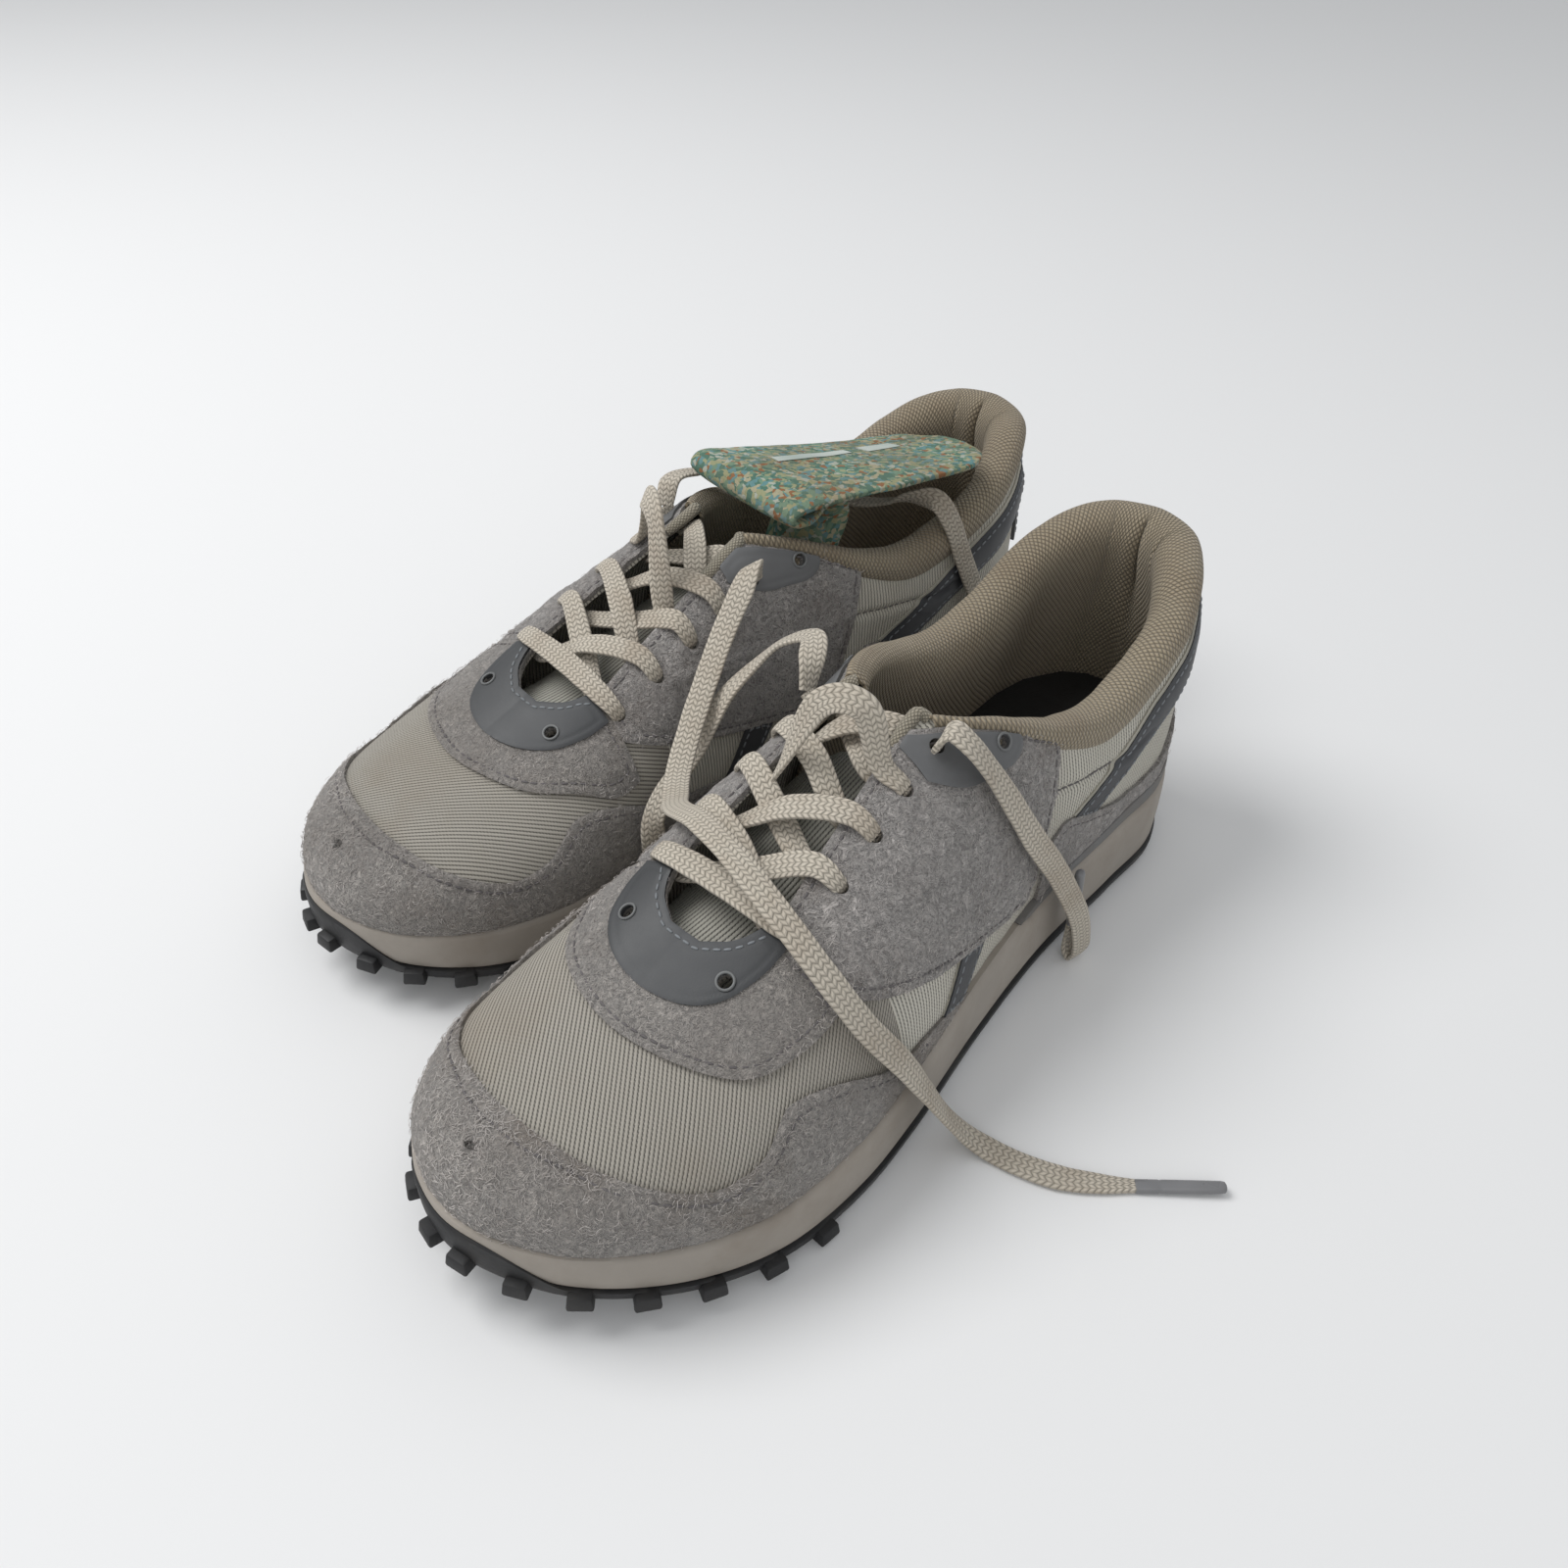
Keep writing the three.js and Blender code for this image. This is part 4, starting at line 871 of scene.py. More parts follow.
GREY_THREAD = smooth_stuff("grey_thread", (0.15, 0.14, 0.14), (0.11, 0.1, 0.1), (0.8, 0.9), 4000.0, 0.0001)
FOAM = smooth_stuff("cream_foam", (0.34, 0.305, 0.265), (0.285, 0.255, 0.22), (0.55, 0.7), 900.0, 0.00008,
                    (0.2, 0.16, 0.12), 0.45)
WEDGE_FOAM = smooth_stuff("grey_foam", (0.16, 0.158, 0.156), (0.13, 0.128, 0.126), (0.6, 0.7), 900.0, 0.00008,
                          (0.14, 0.11, 0.08), 0.4)
RUBBER = smooth_stuff("rubber_outsole", (0.012, 0.012, 0.013), (0.007, 0.007, 0.008), (0.45, 0.7), 700.0, 0.0001,
                      (0.1, 0.09, 0.075), 0.25)
# A dark foam sockliner, painted near-black with the shade that fills the inside of the shoe.
SHADED_SOCKLINER = smooth_stuff("dark_sockliner", (0.012, 0.011, 0.01), (0.007, 0.007, 0.006), (0.9, 0.95), 1500.0, 0.0003)
BOARD = smooth_stuff("board", (0.4, 0.36, 0.3), (0.34, 0.3, 0.25), (0.8, 0.9), 1200.0)
COUNTER = smooth_stuff("counter_board", (0.42, 0.39, 0.34), (0.36, 0.33, 0.29), (0.6, 0.7), 1200.0)
WEBBING = knitted("grey_webbing", (0.03, 0.031, 0.034), (0.1, 0.104, 0.11), DUST, 0.0012, 0.0004)
AGLET_FILM = smooth_stuff("aglet", (0.2, 0.2, 0.205), (0.16, 0.16, 0.165), (0.22, 0.35), 800.0)
RING_FILM = smooth_stuff("eyelet_ring", (0.16, 0.165, 0.165), (0.12, 0.122, 0.122), (0.35, 0.45), 900.0)
FLECKED_FOAM = flecked("flecked_foam")
PRINT = smooth_stuff("plain_print", (0.5, 0.54, 0.5), (0.36, 0.42, 0.38), (0.5, 0.6), 1800.0)

# ------------------------------------------------------------------ pattern

FAR = 400
COLLAR_LINE = smooth([[30, 104.5], [0, 103.5], [-18, 100.5], [-38, 90], [-58, 81], [-78, 78], [-97, 83],
                      [-112, 90], [-124, 95], [-136, 98]], 80)
COLLAR_Y, COLLAR_Z = COLLAR_LINE[::-1, 0], COLLAR_LINE[::-1, 1]


def collar_height(y):
    return np.interp(y, COLLAR_Y, COLLAR_Z)


THROAT_X = -4
THROAT_Y = np.array([-211, -206, -196, -180, -154, -141, -110])
THROAT_HALF = np.array([5, 12, 16, 14.5, 11.5, 10, 10])


def throat_half(y):
    return np.interp(y, THROAT_Y, THROAT_HALF)


def throat_outline(margin):
    line = smooth(list(zip(THROAT_HALF[::-1] + margin, np.where(THROAT_Y < -200, THROAT_Y - margin, THROAT_Y)[::-1])),
                  40)
    return np.vstack([line + [THROAT_X, 0], line[::-1] * [-1, 1] + [THROAT_X, 0]])


EYELET_ROWS = [-196, -181, -167, -154, -141, -121]
EYELET_INSET = 8
TOP_EYELET = (-124, 90)
LACE_HOLE, TOP_HOLE, PATCH_HOLE = 2.0, 1.9, 2.1


def on_form(x, y):
    """Nearest grid point of the form above a plan place, as place and normal."""
    near = np.argsort((FORM[:, 0] - x) ** 2 + (FORM[:, 1] - y) ** 2 + np.where(FORM[:, 2] < 30, 1e3, 0))[:4]
    weight = 1 / (0.05 + (FORM[near, 0] - x) ** 2 + (FORM[near, 1] - y) ** 2)[:, None]
    return (FORM[near] * weight).sum(0) / weight.sum(), unit((NORMALS[near] * weight).sum(0))


def eyelet(k, side):
    y = EYELET_ROWS[k]
    return on_form(THROAT_X + side * (throat_half(y) + EYELET_INSET), y)


PATCH_HOLES = [on_form(THROAT_X + side * 16.5, -214) for side in (-1, 1)]
EYELETS = {(k, side): eyelet(k, side) for k in range(5) for side in (-1, 1)}
for side in (-1, 1):
    away = np.linalg.norm(SIDE_VIEW - TOP_EYELET, axis=1) + FAR * (SIDES != side)
    EYELETS[5, side] = (FORM[away.argmin()], NORMALS[away.argmin()])

BELOW_COLLAR = np.where(SIDE_VIEW[:, 0] > -150, collar_height(SIDE_VIEW[:, 0]) - SIDE_VIEW[:, 1], 60)
OUTSIDE_THROAT = -field(PLAN, throat_outline(0))
OPEN = np.minimum(BELOW_COLLAR, OUTSIDE_THROAT)


def from_hole(hole, radius):
    """Distance outside a round hole, which only reaches this side of the shoe."""
    away = SKIN - hole[0]
    deep = away @ hole[1]
    return np.linalg.norm(away - deep[:, None] * hole[1], axis=1) - radius + 50 * (np.abs(deep) > 8)


HOLES = np.full(len(FORM), 99.0)
for key, hole in EYELETS.items():
    HOLES = np.minimum(HOLES, from_hole(hole, LACE_HOLE if key[0] < 5 else TOP_HOLE))
for hole in PATCH_HOLES:
    HOLES = np.minimum(HOLES, from_hole(hole, PATCH_HOLE))

VAMP_END = -186
FRONT = VAMP_END - SIDE_VIEW[:, 0]


def side_region(outline):
    """Distance inside an outline drawn from the side."""
    return field(SIDE_VIEW, outline)


def plan_region(outline):
    """Distance inside an outline drawn from above."""
    return field(PLAN, outline)


MUD_TOP = smooth([[-330, 48], [-300, 47], [-284, 46], [-275, 46.5], [-268, 45], [-262, 41.5], [-246, 36],
                  [-234, 38], [-222, 45], [-208, 44], [-190, 37], [-168, 33], [-148, 27]], 60)
SADDLE = [[-199, FAR], [-199, 58], [-190, 55], [-155, 45.5], [-118, 36], [-113, 43], [-108, 56], [-103, 70],
          [-100.5, 80], [-101, 90], [-104, FAR]]
STAY = smooth([[-42, -199], [-42.5, -208], [-38, -218], [-28, -231], [-5, -239], [18, -235], [31, -226],
               [35.5, -212], [36, -199]], 50)
CRESCENT = smooth([[-29, -200], [-28.5, -208], [-25, -217.5], [-17, -224.5], [-5, -227.5], [8, -225],
                   [15, -219], [18.5, -209], [19, -200]], 60)
EYELET_PATCH = smooth([[-149, 88], [-148, 97], [-140, 101], [-128, 99], [-119, 93], [-117, 88], [-121, 84.5],
                       [-130, 84], [-140, 84.5], [-149, 88]], 60)
FOXING = np.vstack([smooth([[-108, 47], [-97, 52], [-80, 46], [-60, 40], [-40, 41], [-20, 47], [0, 52],
                            [30, 54]], 40)[::-1], [[-109, -20], [30, -20]]])


def band(start, end, width, grow_up=0.0):
    (y0, z0), (y1, z1) = start, end
    reach = math.hypot(y1 - y0, z1 - z0)
    ny, nz = -(z1 - z0) / reach, (y1 - y0) / reach
    low, high = -width / 2, width / 2 + grow_up
    return [[y0 + ny * low, z0 + nz * low], [y1 + ny * low, z1 + nz * low],
            [y1 + ny * high, z1 + nz * high], [y0 + ny * high, z0 + nz * high]]


STRAPS = {"heel_strap": ((-98, 41), (-6, 89), 12), "front_strap": ((-137.5, 60), (-166, 21), 12.5)}

MUD = side_region(np.vstack([MUD_TOP, [[-148, -20], [-330, -20]]]))
SADDLE_AREA = side_region(SADDLE)
STAY_AREA = plan_region(STAY)
CRESCENT_AREA = plan_region(CRESCENT)
PATCH_AREA = side_region(EYELET_PATCH)
FOX = side_region(FOXING)
TAB = side_region([[-15, 60], [40, 60], [40, FAR], [-15, FAR]])
DEBOSS_AT = [[-150, 57], [-121, 66], [-119, 60], [-148, 51]]


def only(side):
    """Positive on one side of the shoe, zero at the ridge and the heel seam."""
    near_seam = np.minimum(np.abs(GIRTH), np.where(SKIN[:, 1] > -30, np.abs(SKIN[:, 0]), 99))
    return np.where(SIDES == side, 1, -1) * near_seam - 0.05


# ------------------------------------------------------------------ upper

pieces = {}


def keep_piece(key, piece, slot, body="shoe", nodes=None):
    """Left piece kept for both shoes. It stands for the part of its own name, or for those in nodes."""
    pieces[key] = (piece, slot, body, (key,) if nodes is None else nodes)


def add_panel(key, slot, *sheet, nodes=None):
    keep_piece(key, panel(f"left_{key}", *sheet), slot, nodes=nodes)


def textile_lift(depth, base):
    y, z = base[:, 1], base[:, 2]
    below = np.where(y > -150, collar_height(y) - z, 60)
    puff = 1.9 * bump(below, 17, 10) * ease(y, -104, -88) * (1 - 0.5 * ease(y, -20, 0))
    seam = np.interp(y, [-104, -85, -66, -40], [64.5, 62.5, 60, 66])
    groove = 1.2 * bump(z, seam, 1.1) * ease(y, -108, -100) * (1 - ease(y, -60, -50))
    return 2.0 + puff - groove + 0.15 * lumps(base, 9) + 0.12 * lumps(base, 4)


def suede_lift(top, puff=0.0, rough=0.16):
    def lift(depth, base):
        rim = 0.55 * np.exp(-depth / 0.7)
        groove = 0.28 * bump(depth, 2.4, 0.75)
        return (top - rim - groove + puff * ease(depth, 2, 12) + rough * lumps(base, 1.7)
                + 1.2 * rough * lumps(base, 5) + rough * lumps(base, 14))
    return lift


def saddle_lift(depth, base):
    flat = base[:, 1:]
    pressed = ease(field(flat, DEBOSS_AT), -0.4, 0.6) * (base[:, 0] > 0)
    ridge = 0.5 * bump(base[:, 2], np.interp(base[:, 1], [-196, -150, -104], [66, 69, 66]), 1.6) \
        * ease(base[:, 1], -192, -182)
    rim = bump(field(flat, DEBOSS_AT), 0, 0.7) * (base[:, 0] > 0)
    return suede_lift(3.7, 0.5, 0.24)(depth, base) - 0.35 * pressed - 0.7 * rim + ridge


def strap_lift(top):
    def lift(depth, base):
        return textile_lift(depth, base) + top - 0.35 * np.exp(-depth / 0.5) - 0.16 * bump(depth, 1.9, 0.6)
    return lift


def film_lift(top):
    def lift(depth, base):
        return top - 0.35 * np.exp(-depth / 0.5) - 0.16 * bump(depth, 1.9, 0.6) + 0.05 * lumps(base, 8)
    return lift


def edge_soil(strength, spread=3.0):
    def soil(base, depth):
        low = 1 - ease(base[:, 2], 25, 45)
        return np.clip(strength * (0.5 * np.exp(-depth / spread) + 0.4 * low + 0.25 + 0.35 * lumps(base, 11)), 0, 1)
    return soil


def saddle_soil(base, depth):
    rear = ease(base[:, 1], -126, -106) * ease(base[:, 2], 42, 60) * (1 - ease(base[:, 2], 78, 92))
    return np.clip(edge_soil(0.7)(base, depth) + 0.9 * rear, 0, 1)


def toe_soil(base, depth):
    toe = ease(-base[:, 1], 230, 272)
    return np.clip(0.15 + 0.65 * toe + 0.45 * np.exp(-depth / 4) * ease(-base[:, 1], 215, 240), 0, 1)


CLOTH_SHEET, SUEDE_SHEET, FILM_SHEET = 1.6, 1.8, 1.3
SUEDE_TOP, CRESCENT_TOP, TAB_TOP, PATCH_TOP = 3.6, 4.6, 3.7, 4.8
SUEDE_SEAM, FILM_SEAM = 2.4, 2.0

MUD_AREA = np.minimum(MUD, -SADDLE_AREA)
MUD_OPEN = np.minimum(MUD_AREA, OPEN)
STAY_FREE = np.minimum(STAY_AREA, -MUD - 0.3)
STAY_OPEN = np.minimum(STAY_FREE, OUTSIDE_THROAT - 0.3)
VAMP_AREA = np.minimum(FRONT, OUTSIDE_THROAT - 1.4)
CRESCENT_OPEN = np.minimum(CRESCENT_AREA, OUTSIDE_THROAT - 0.4)
FOX_AREA = np.minimum(FOX, -SADDLE_AREA)
TAB_AREA = np.minimum(TAB, BELOW_COLLAR - 7)

add_panel("vamp", "ribbed_textile", VAMP_AREA, lambda d, p: CLOTH_TOP + 0.2 * lumps(p, 22), CLOTH_SHEET,
          TEXTILE_TOE, HOLES, toe_soil, -41)
add_panel("mudguard", "suede", MUD_OPEN, suede_lift(SUEDE_TOP), SUEDE_SHEET, SUEDE_TOE, None, edge_soil(0.8))
add_panel("throat_stay", "suede", STAY_OPEN, suede_lift(SUEDE_TOP, 0.3), SUEDE_SHEET, SUEDE_TOE, HOLES,
          edge_soil(0.5))
add_panel("throat_patch", "grey_synthetic", CRESCENT_OPEN, film_lift(CRESCENT_TOP), FILM_SHEET, DARK_SYNTHETIC,
          HOLES)
add_panel("heel_foxing", "suede", FOX_AREA, suede_lift(SUEDE_TOP), SUEDE_SHEET, SUEDE_SIDE, None, edge_soil(0.8))
add_panel("heel_tab", "grey_synthetic", TAB_AREA, film_lift(TAB_TOP), FILM_SHEET, GREY_SYNTHETIC)


def above_feather(p):
    return p[2] > feather(p[1]) + 6


suede_lines = [(MUD_AREA - SUEDE_SEAM, 3.4, above_feather),
               (STAY_FREE - SUEDE_SEAM, 3.4, lambda p: abs(p[0] - THROAT_X) > 17 or p[1] < -213),
               (FOX_AREA - SUEDE_SEAM, 3.4, above_feather)]
pale_lines = [(CRESCENT_OPEN - FILM_SEAM, CRESCENT_TOP, lambda p: -field(p[None, :2], throat_outline(0))[0] < 3.4),
              (TAB_AREA - FILM_SEAM, TAB_TOP, None)]
for side, word in ((1, "lateral"), (-1, "medial")):
    half = only(side)
    seam = np.interp(SIDE_VIEW[:, 0], [-104, -85, -66, -40], [65, 63, 60.5, 66]) - SIDE_VIEW[:, 1]
    suede_lines.append((np.minimum(seam, 60 + half), textile_lift(0, FORM) + 0.1,
                        lambda p, side=side: -102 < p[1] < -60 and 54 < p[2] < 70 and p[0] * side > 8))
    suede_lines.append((np.minimum(OUTSIDE_THROAT - 19, 60 + half), 3.9,
                        lambda p, side=side: -188 < p[1] < -140 and (p[0] - THROAT_X) * side > 8))
    quarter = np.minimum.reduce([-FRONT, BELOW_COLLAR - 5.5 * ease(SIDE_VIEW[:, 0], -118, -95),
                                 OUTSIDE_THROAT - 1.4, half])
    add_panel(f"quarter_{word}", "ribbed_textile", quarter, textile_lift, CLOTH_SHEET, TEXTILE_SIDE, HOLES,
              edge_soil(0.4))
    stay = np.minimum.reduce([SADDLE_AREA, BELOW_COLLAR - 1.6, OUTSIDE_THROAT - 0.3, half])
    add_panel(f"eyestay_{word}", "suede", stay, saddle_lift, SUEDE_SHEET, SUEDE_SIDE, HOLES, saddle_soil)
    patch = np.minimum.reduce([PATCH_AREA, BELOW_COLLAR - 2.6, OUTSIDE_THROAT - 2.4, half])
    add_panel(f"eyelet_patch_{word}", "grey_synthetic", patch, film_lift(PATCH_TOP), FILM_SHEET, GREY_SYNTHETIC,
              HOLES)
    suede_lines.append((stay - SUEDE_SEAM, 3.6, lambda p: p[2] < 93))
    for strap, (start, end, width) in STRAPS.items():
        area = side_region(band(start, end, width))
        under = side_region(band(start, end, width, 1.0))
        if strap == "heel_strap":
            blocked = [-FOX - 0.2, -TAB - 0.2, -SADDLE_AREA, BELOW_COLLAR - 6, half]
        else:
            blocked = [-MUD - 0.2, -SADDLE_AREA, half]
        add_panel(f"{strap}_{word}", "grey_synthetic", np.minimum.reduce([area] + blocked), strap_lift(1.3),
                  CLOTH_SHEET, STRAP_SYNTHETIC)
        add_panel(f"{strap}_edge_{word}", "grey_synthetic", np.minimum.reduce([under] + blocked),
                  strap_lift(0.8), 1.0, PALE_EDGE, nodes=())
        pale_lines.append((np.minimum(area - FILM_SEAM, np.minimum.reduce(blocked) - 0.4),
                           textile_lift(0, FORM) + 1.25, None))


def seam_lines(table):
    return [line for area, lift, keep in table for line in contour(area, lift, keep)]


keep_piece("suede_stitches", stitches("left_suede_stitches", seam_lines(suede_lines), GREY_THREAD, sink=0.12),
           "suede", nodes=())
keep_piece("pale_stitches", stitches("left_pale_stitches", seam_lines(pale_lines), PALE_THREAD, 2.0, 0.3),
           "grey_synthetic", nodes=())

# ------------------------------------------------------------------ collar

COLLAR_PROFILE = smooth([[8.2, 1.0], [7.2, 2.3], [5.4, 3.2], [3, 3.9], [0.8, 3.8], [-1.2, 2.9], [-2.5, 1.0],
                         [-3.0, -1.4], [-2.7, -3.8], [-1.6, -6.0], [0.6, -7.8], [4, -9.1], [9, -9.5], [15, -9.0],
                         [22, -7.8], [30, -6.3], [38, -4.8], [48, -3], [58, -2], [70, -1.4]], 60)


def build_collar():
    """Padded roll round the opening, from one end of the throat over the heel to the other."""
    top = float(np.interp(-139.5, [y for y, _, _ in EDGE][::-1], np.arange(LAST, -1, -1)))
    u_side = even_stations(0, top, 1.4, 1, 0.6)
    table = np.linspace(0, 1, 240)
    count = len(table)
    rows, uv, soil = [], [], []
    run = 0.0
    last = None
    for side, us in ((1, u_side[::-1]), (-1, u_side[1:])):
        for u in us:
            line = form(u, side, table)
            over = line + 2 * normal(u, side, table)
            high = over[:, 2] - collar_height(over[:, 1])
            k = int(np.argmax(high > 0)) if (high > 0).any() else count - 1
            k = max(k, 1)
            share = np.clip(-high[k - 1] / max(high[k] - high[k - 1], 1e-6), 0, 1)
            at = k - 1 + share
            along = lengths(line)
            here = np.interp(at, np.arange(count), along)
            n_all = normal(u, side, table)
            y = np.interp(at, np.arange(count), line[:, 1])
            thick = 0.34 + 0.66 * ease(y, -134, -70)
            notch = 3.2 * bump(u, 0, 0.16)
            row, row_uv = [], []
            depth_before, lift_before, arc = None, None, 0.0
            for d, n in COLLAR_PROFILE:
                d = d * (thick if d < 8 and n > -7 else 1) if d < 8.3 else d
                n = n * (0.75 + 0.25 * thick) if n > 0 else n * thick
                if n < -3:
                    n += notch * ease(-n, 3, 9)
                where = np.clip(here - max(d, 0), 0.2, None)
                p = np.array([np.interp(where, along, line[:, c]) for c in range(3)])
                m = unit(np.array([np.interp(where, along, n_all[:, c]) for c in range(3)]))
                if d < 0:
                    ahead = unit(line[min(k + 1, count - 1)] - line[k - 1])
                    p = p + ahead * -d * (0.6 + 0.4 * thick)
                q = p + m * n
                if depth_before is not None:
                    arc += math.hypot(d - depth_before, n - lift_before)
                depth_before, lift_before = d, n
                row.append(q)
                row_uv.append(arc)
            row = np.array(row)
            if last is not None:
                run += np.linalg.norm(row[12] - last[12])
            last = row
            rows.append(row)
            uv.append([(run, a) for a in row_uv])
            lip = bump(np.arange(len(row)), 17, 12)
            soil.append(0.25 + 0.55 * lip)
    rows = np.array(rows)
    rows += unit(rows - rows.mean(1, keepdims=True)) * (0.35 * lumps(rows.reshape(-1, 3), 16)
                                                       + 0.25 * lumps(rows.reshape(-1, 3), 7)).reshape(
                                                           rows.shape[0], rows.shape[1], 1)
    n, m = rows.shape[:2]
    faces = [[i * m + j, i * m + j + 1, (i + 1) * m + j + 1, (i + 1) * m + j]
             for i in range(n - 1) for j in range(m - 1)]
    piece = new_piece("left_collar", rows.reshape(-1, 3), faces, np.array(uv).reshape(-1, 2),
                      np.array(soil).ravel())
    weld(piece)
    apply_modifier(piece, "SOLIDIFY", thickness=0.9 * MM, offset=-1)
    return finish_piece(piece, COLLAR_CLOTH, 80), rows


collar, collar_rows = build_collar()
keep_piece("collar_padding", collar, "collar_mesh")


def edge_cord(name, side, y_from, y_to, radius):
    """Rolled binding along the throat's cut edge."""
    ys = np.linspace(y_from, y_to, 24)
    spots = [on_form(THROAT_X + side * (throat_half(y) + 0.4), y) for y in ys]
    line = np.array([p + n * 2.2 for p, n in spots])
    first = collar_rows[0 if side > 0 else -1][18]
    line = even(smooth(settle(np.vstack([[first], line]), 6), 120), 0.8)
    up, aside = frames(line, np.tile([0.0, 0, 1], (len(line), 1)))
    turn = np.linspace(0, 2 * np.pi, 18, endpoint=False)
    wide = radius * (1 + 0.07 * lumps(line, 4))
    wide[-2:] *= 0.9
    rings = line[:, None] + (aside[:, None] * np.cos(turn)[None, :, None] * 1.1
                             + up[:, None] * np.sin(turn)[None, :, None]) * wide[:, None, None]
    uv = tube_uv(turn * radius, lengths(line), rings)
    return sweep(name, rings, BINDING_CLOTH, uv, 0.4 + 0.4 * lumps(rings.reshape(-1, 3), 6))


keep_piece("binding_medial", edge_cord("left_binding_medial", -1, -137, -158, 2.1), "collar_mesh", nodes=())
keep_piece("binding_lateral", edge_cord("left_binding_lateral", 1, -137, -149, 1.8), "collar_mesh", nodes=())

RING_SPOTS = [(EYELETS[5, side], 4.9) for side in (-1, 1)] + [(hole, 4.7) for hole in PATCH_HOLES]


def build_rings():
    """Small rings pressed into the punched patches."""
    made = []
    for (at, up), lift in RING_SPOTS:
        bpy.ops.mesh.primitive_torus_add(major_radius=2.25 * MM, minor_radius=0.38 * MM, major_segments=32,
                                         minor_segments=12)
        ring = bpy.context.object
        turn = Vector((0, 0, 1)).rotation_difference(Vector(up)).to_matrix().to_4x4()
        ring.data.transform(Matrix.Translation(to_world(at + up * lift)) @ turn)
        made.append(ring)
    merge(made)
    return finish_piece(made[0], RING_FILM, 80)


keep_piece("eyelet_rings", build_rings(), "grey_synthetic", nodes=())

# ------------------------------------------------------------------ sole

FOAM_GAP = 0.15


def wedge_depth(y):
    return np.interp(y, [-120, -112, 0], [0.0, 3, 8])


def toe_wrap(y):
    return 8.5 * ease(-y / LENGTH, 0.95, 0.99)


def slab(name, section, material, u_high=LAST, soil=0.4):
    """Layer of the sole between its two edges; section lists insets and height functions, bottom to top."""
    us = even_stations(0, u_high, 1.3, 1, 0)
    rings = []
    for u in us:
        walls = []
        for side in (-1, 1):
            wall = np.array([edge(u, side, inset) for inset, _ in section])
            wall[:, 2] = [high(y) for (_, high), y in zip(section, wall[:, 1])]
            walls.append(wall)
        share = np.linspace(0, 1, 7)[1:-1, None]
        rings.append(np.vstack([walls[0][::-1], walls[0][0] * (1 - share) + walls[1][0] * share, walls[1],
                                walls[1][-1] * (1 - share) + walls[0][-1] * share]))
    rings = np.array(rings)
    rows, count = rings.shape[:2]
    faces = tube_faces(rows, count)
    if u_high < LAST:
        faces.append(list(range((rows - 1) * count, rows * count)))
    points = rings.reshape(-1, 3)
    piece = new_piece(name, points, faces, points[:, :2], soil + 0.5 * lumps(points, 13))
    weld(piece, 0.02)
    outward(piece)
    return finish_piece(piece, material, 42)


def midsole_section():
    def level(share):
        return lambda y: (ground(y) + 5 + FOAM_GAP) * (1 - share) + (feather(y) - wedge_depth(y)) * share
    return [(2.2, level(0)), (1.3, level(0.03)), (1.0, level(0.1)), (0.85, level(0.3)), (0.8, level(0.5)),
            (0.9, level(0.7)), (1.1, level(0.88)), (1.5, level(0.96)), (2.4, level(1))]


def wedge_section():
    def level(share):
        return lambda y: feather(y) - wedge_depth(y) * (1 - share) + FOAM_GAP
    return [(3.0, level(0.0)), (2.0, level(0.08)), (1.8, level(0.3)), (1.7, level(0.6)), (2.0, level(0.9)),
            (3.2, level(1))]


def outsole_section():
    def level(share):
        return lambda y: ground(y) + 1.3 + share * (3.7 + toe_wrap(y))
    return [(1.6, level(0)), (0.9, level(0.1)), (0.5, level(0.3)), (0.3, level(0.7)), (0.3, level(0.93)),
            (0.8, level(1))]


def blocks(name, corners, bevel):
    """Small bevelled blocks from their eight corners, lower four first."""
    points, faces = [], []
    for eight in corners:
        k = len(points)
        points += list(eight)
        faces += [[k, k + 3, k + 2, k + 1], [k + 4, k + 5, k + 6, k + 7]]
        faces += [[k + i, k + (i + 1) % 4, k + 4 + (i + 1) % 4, k + 4 + i] for i in range(4)]
    piece = new_piece(name, np.array(points), faces)
    outward(piece)
    apply_modifier(piece, "BEVEL", width=bevel * MM, segments=2, limit_method="NONE")
    return piece


LUG_PAIRS, FIRST_LUG, LUG_PITCH = 7, 10.78, 0.55
BAR_PITCH, BAR_WIDTH, BAR_HEIGHT = 8.2, 5.4, 2.2


def toe_lugs():
    """Blocks round the toe's edge, as eight corners each."""
    corners = []
    for k in range(LUG_PAIRS):
        for side in (-1, 1):
            u = FIRST_LUG - k * LUG_PITCH
            at = edge(u, side, 0.0)
            inward = unit(edge(u, side, 1.0) - at)
            along = np.array([-inward[1], inward[0], 0])
            low = ground(at[1]) + 0.5
            shape = ((-1, -1), (1, -1), (1, 1), (-1, 1))
            corners.append([at + along * 3.4 * a + inward * (0.3 + 2.6 * b) + [0, 0, low - at[2]] for a, b in shape]
                           + [at + along * 2.9 * a + inward * (0.55 + 2.35 * b) + [0, 0, low + 4.3 - at[2]]
                              for a, b in shape])
    return corners


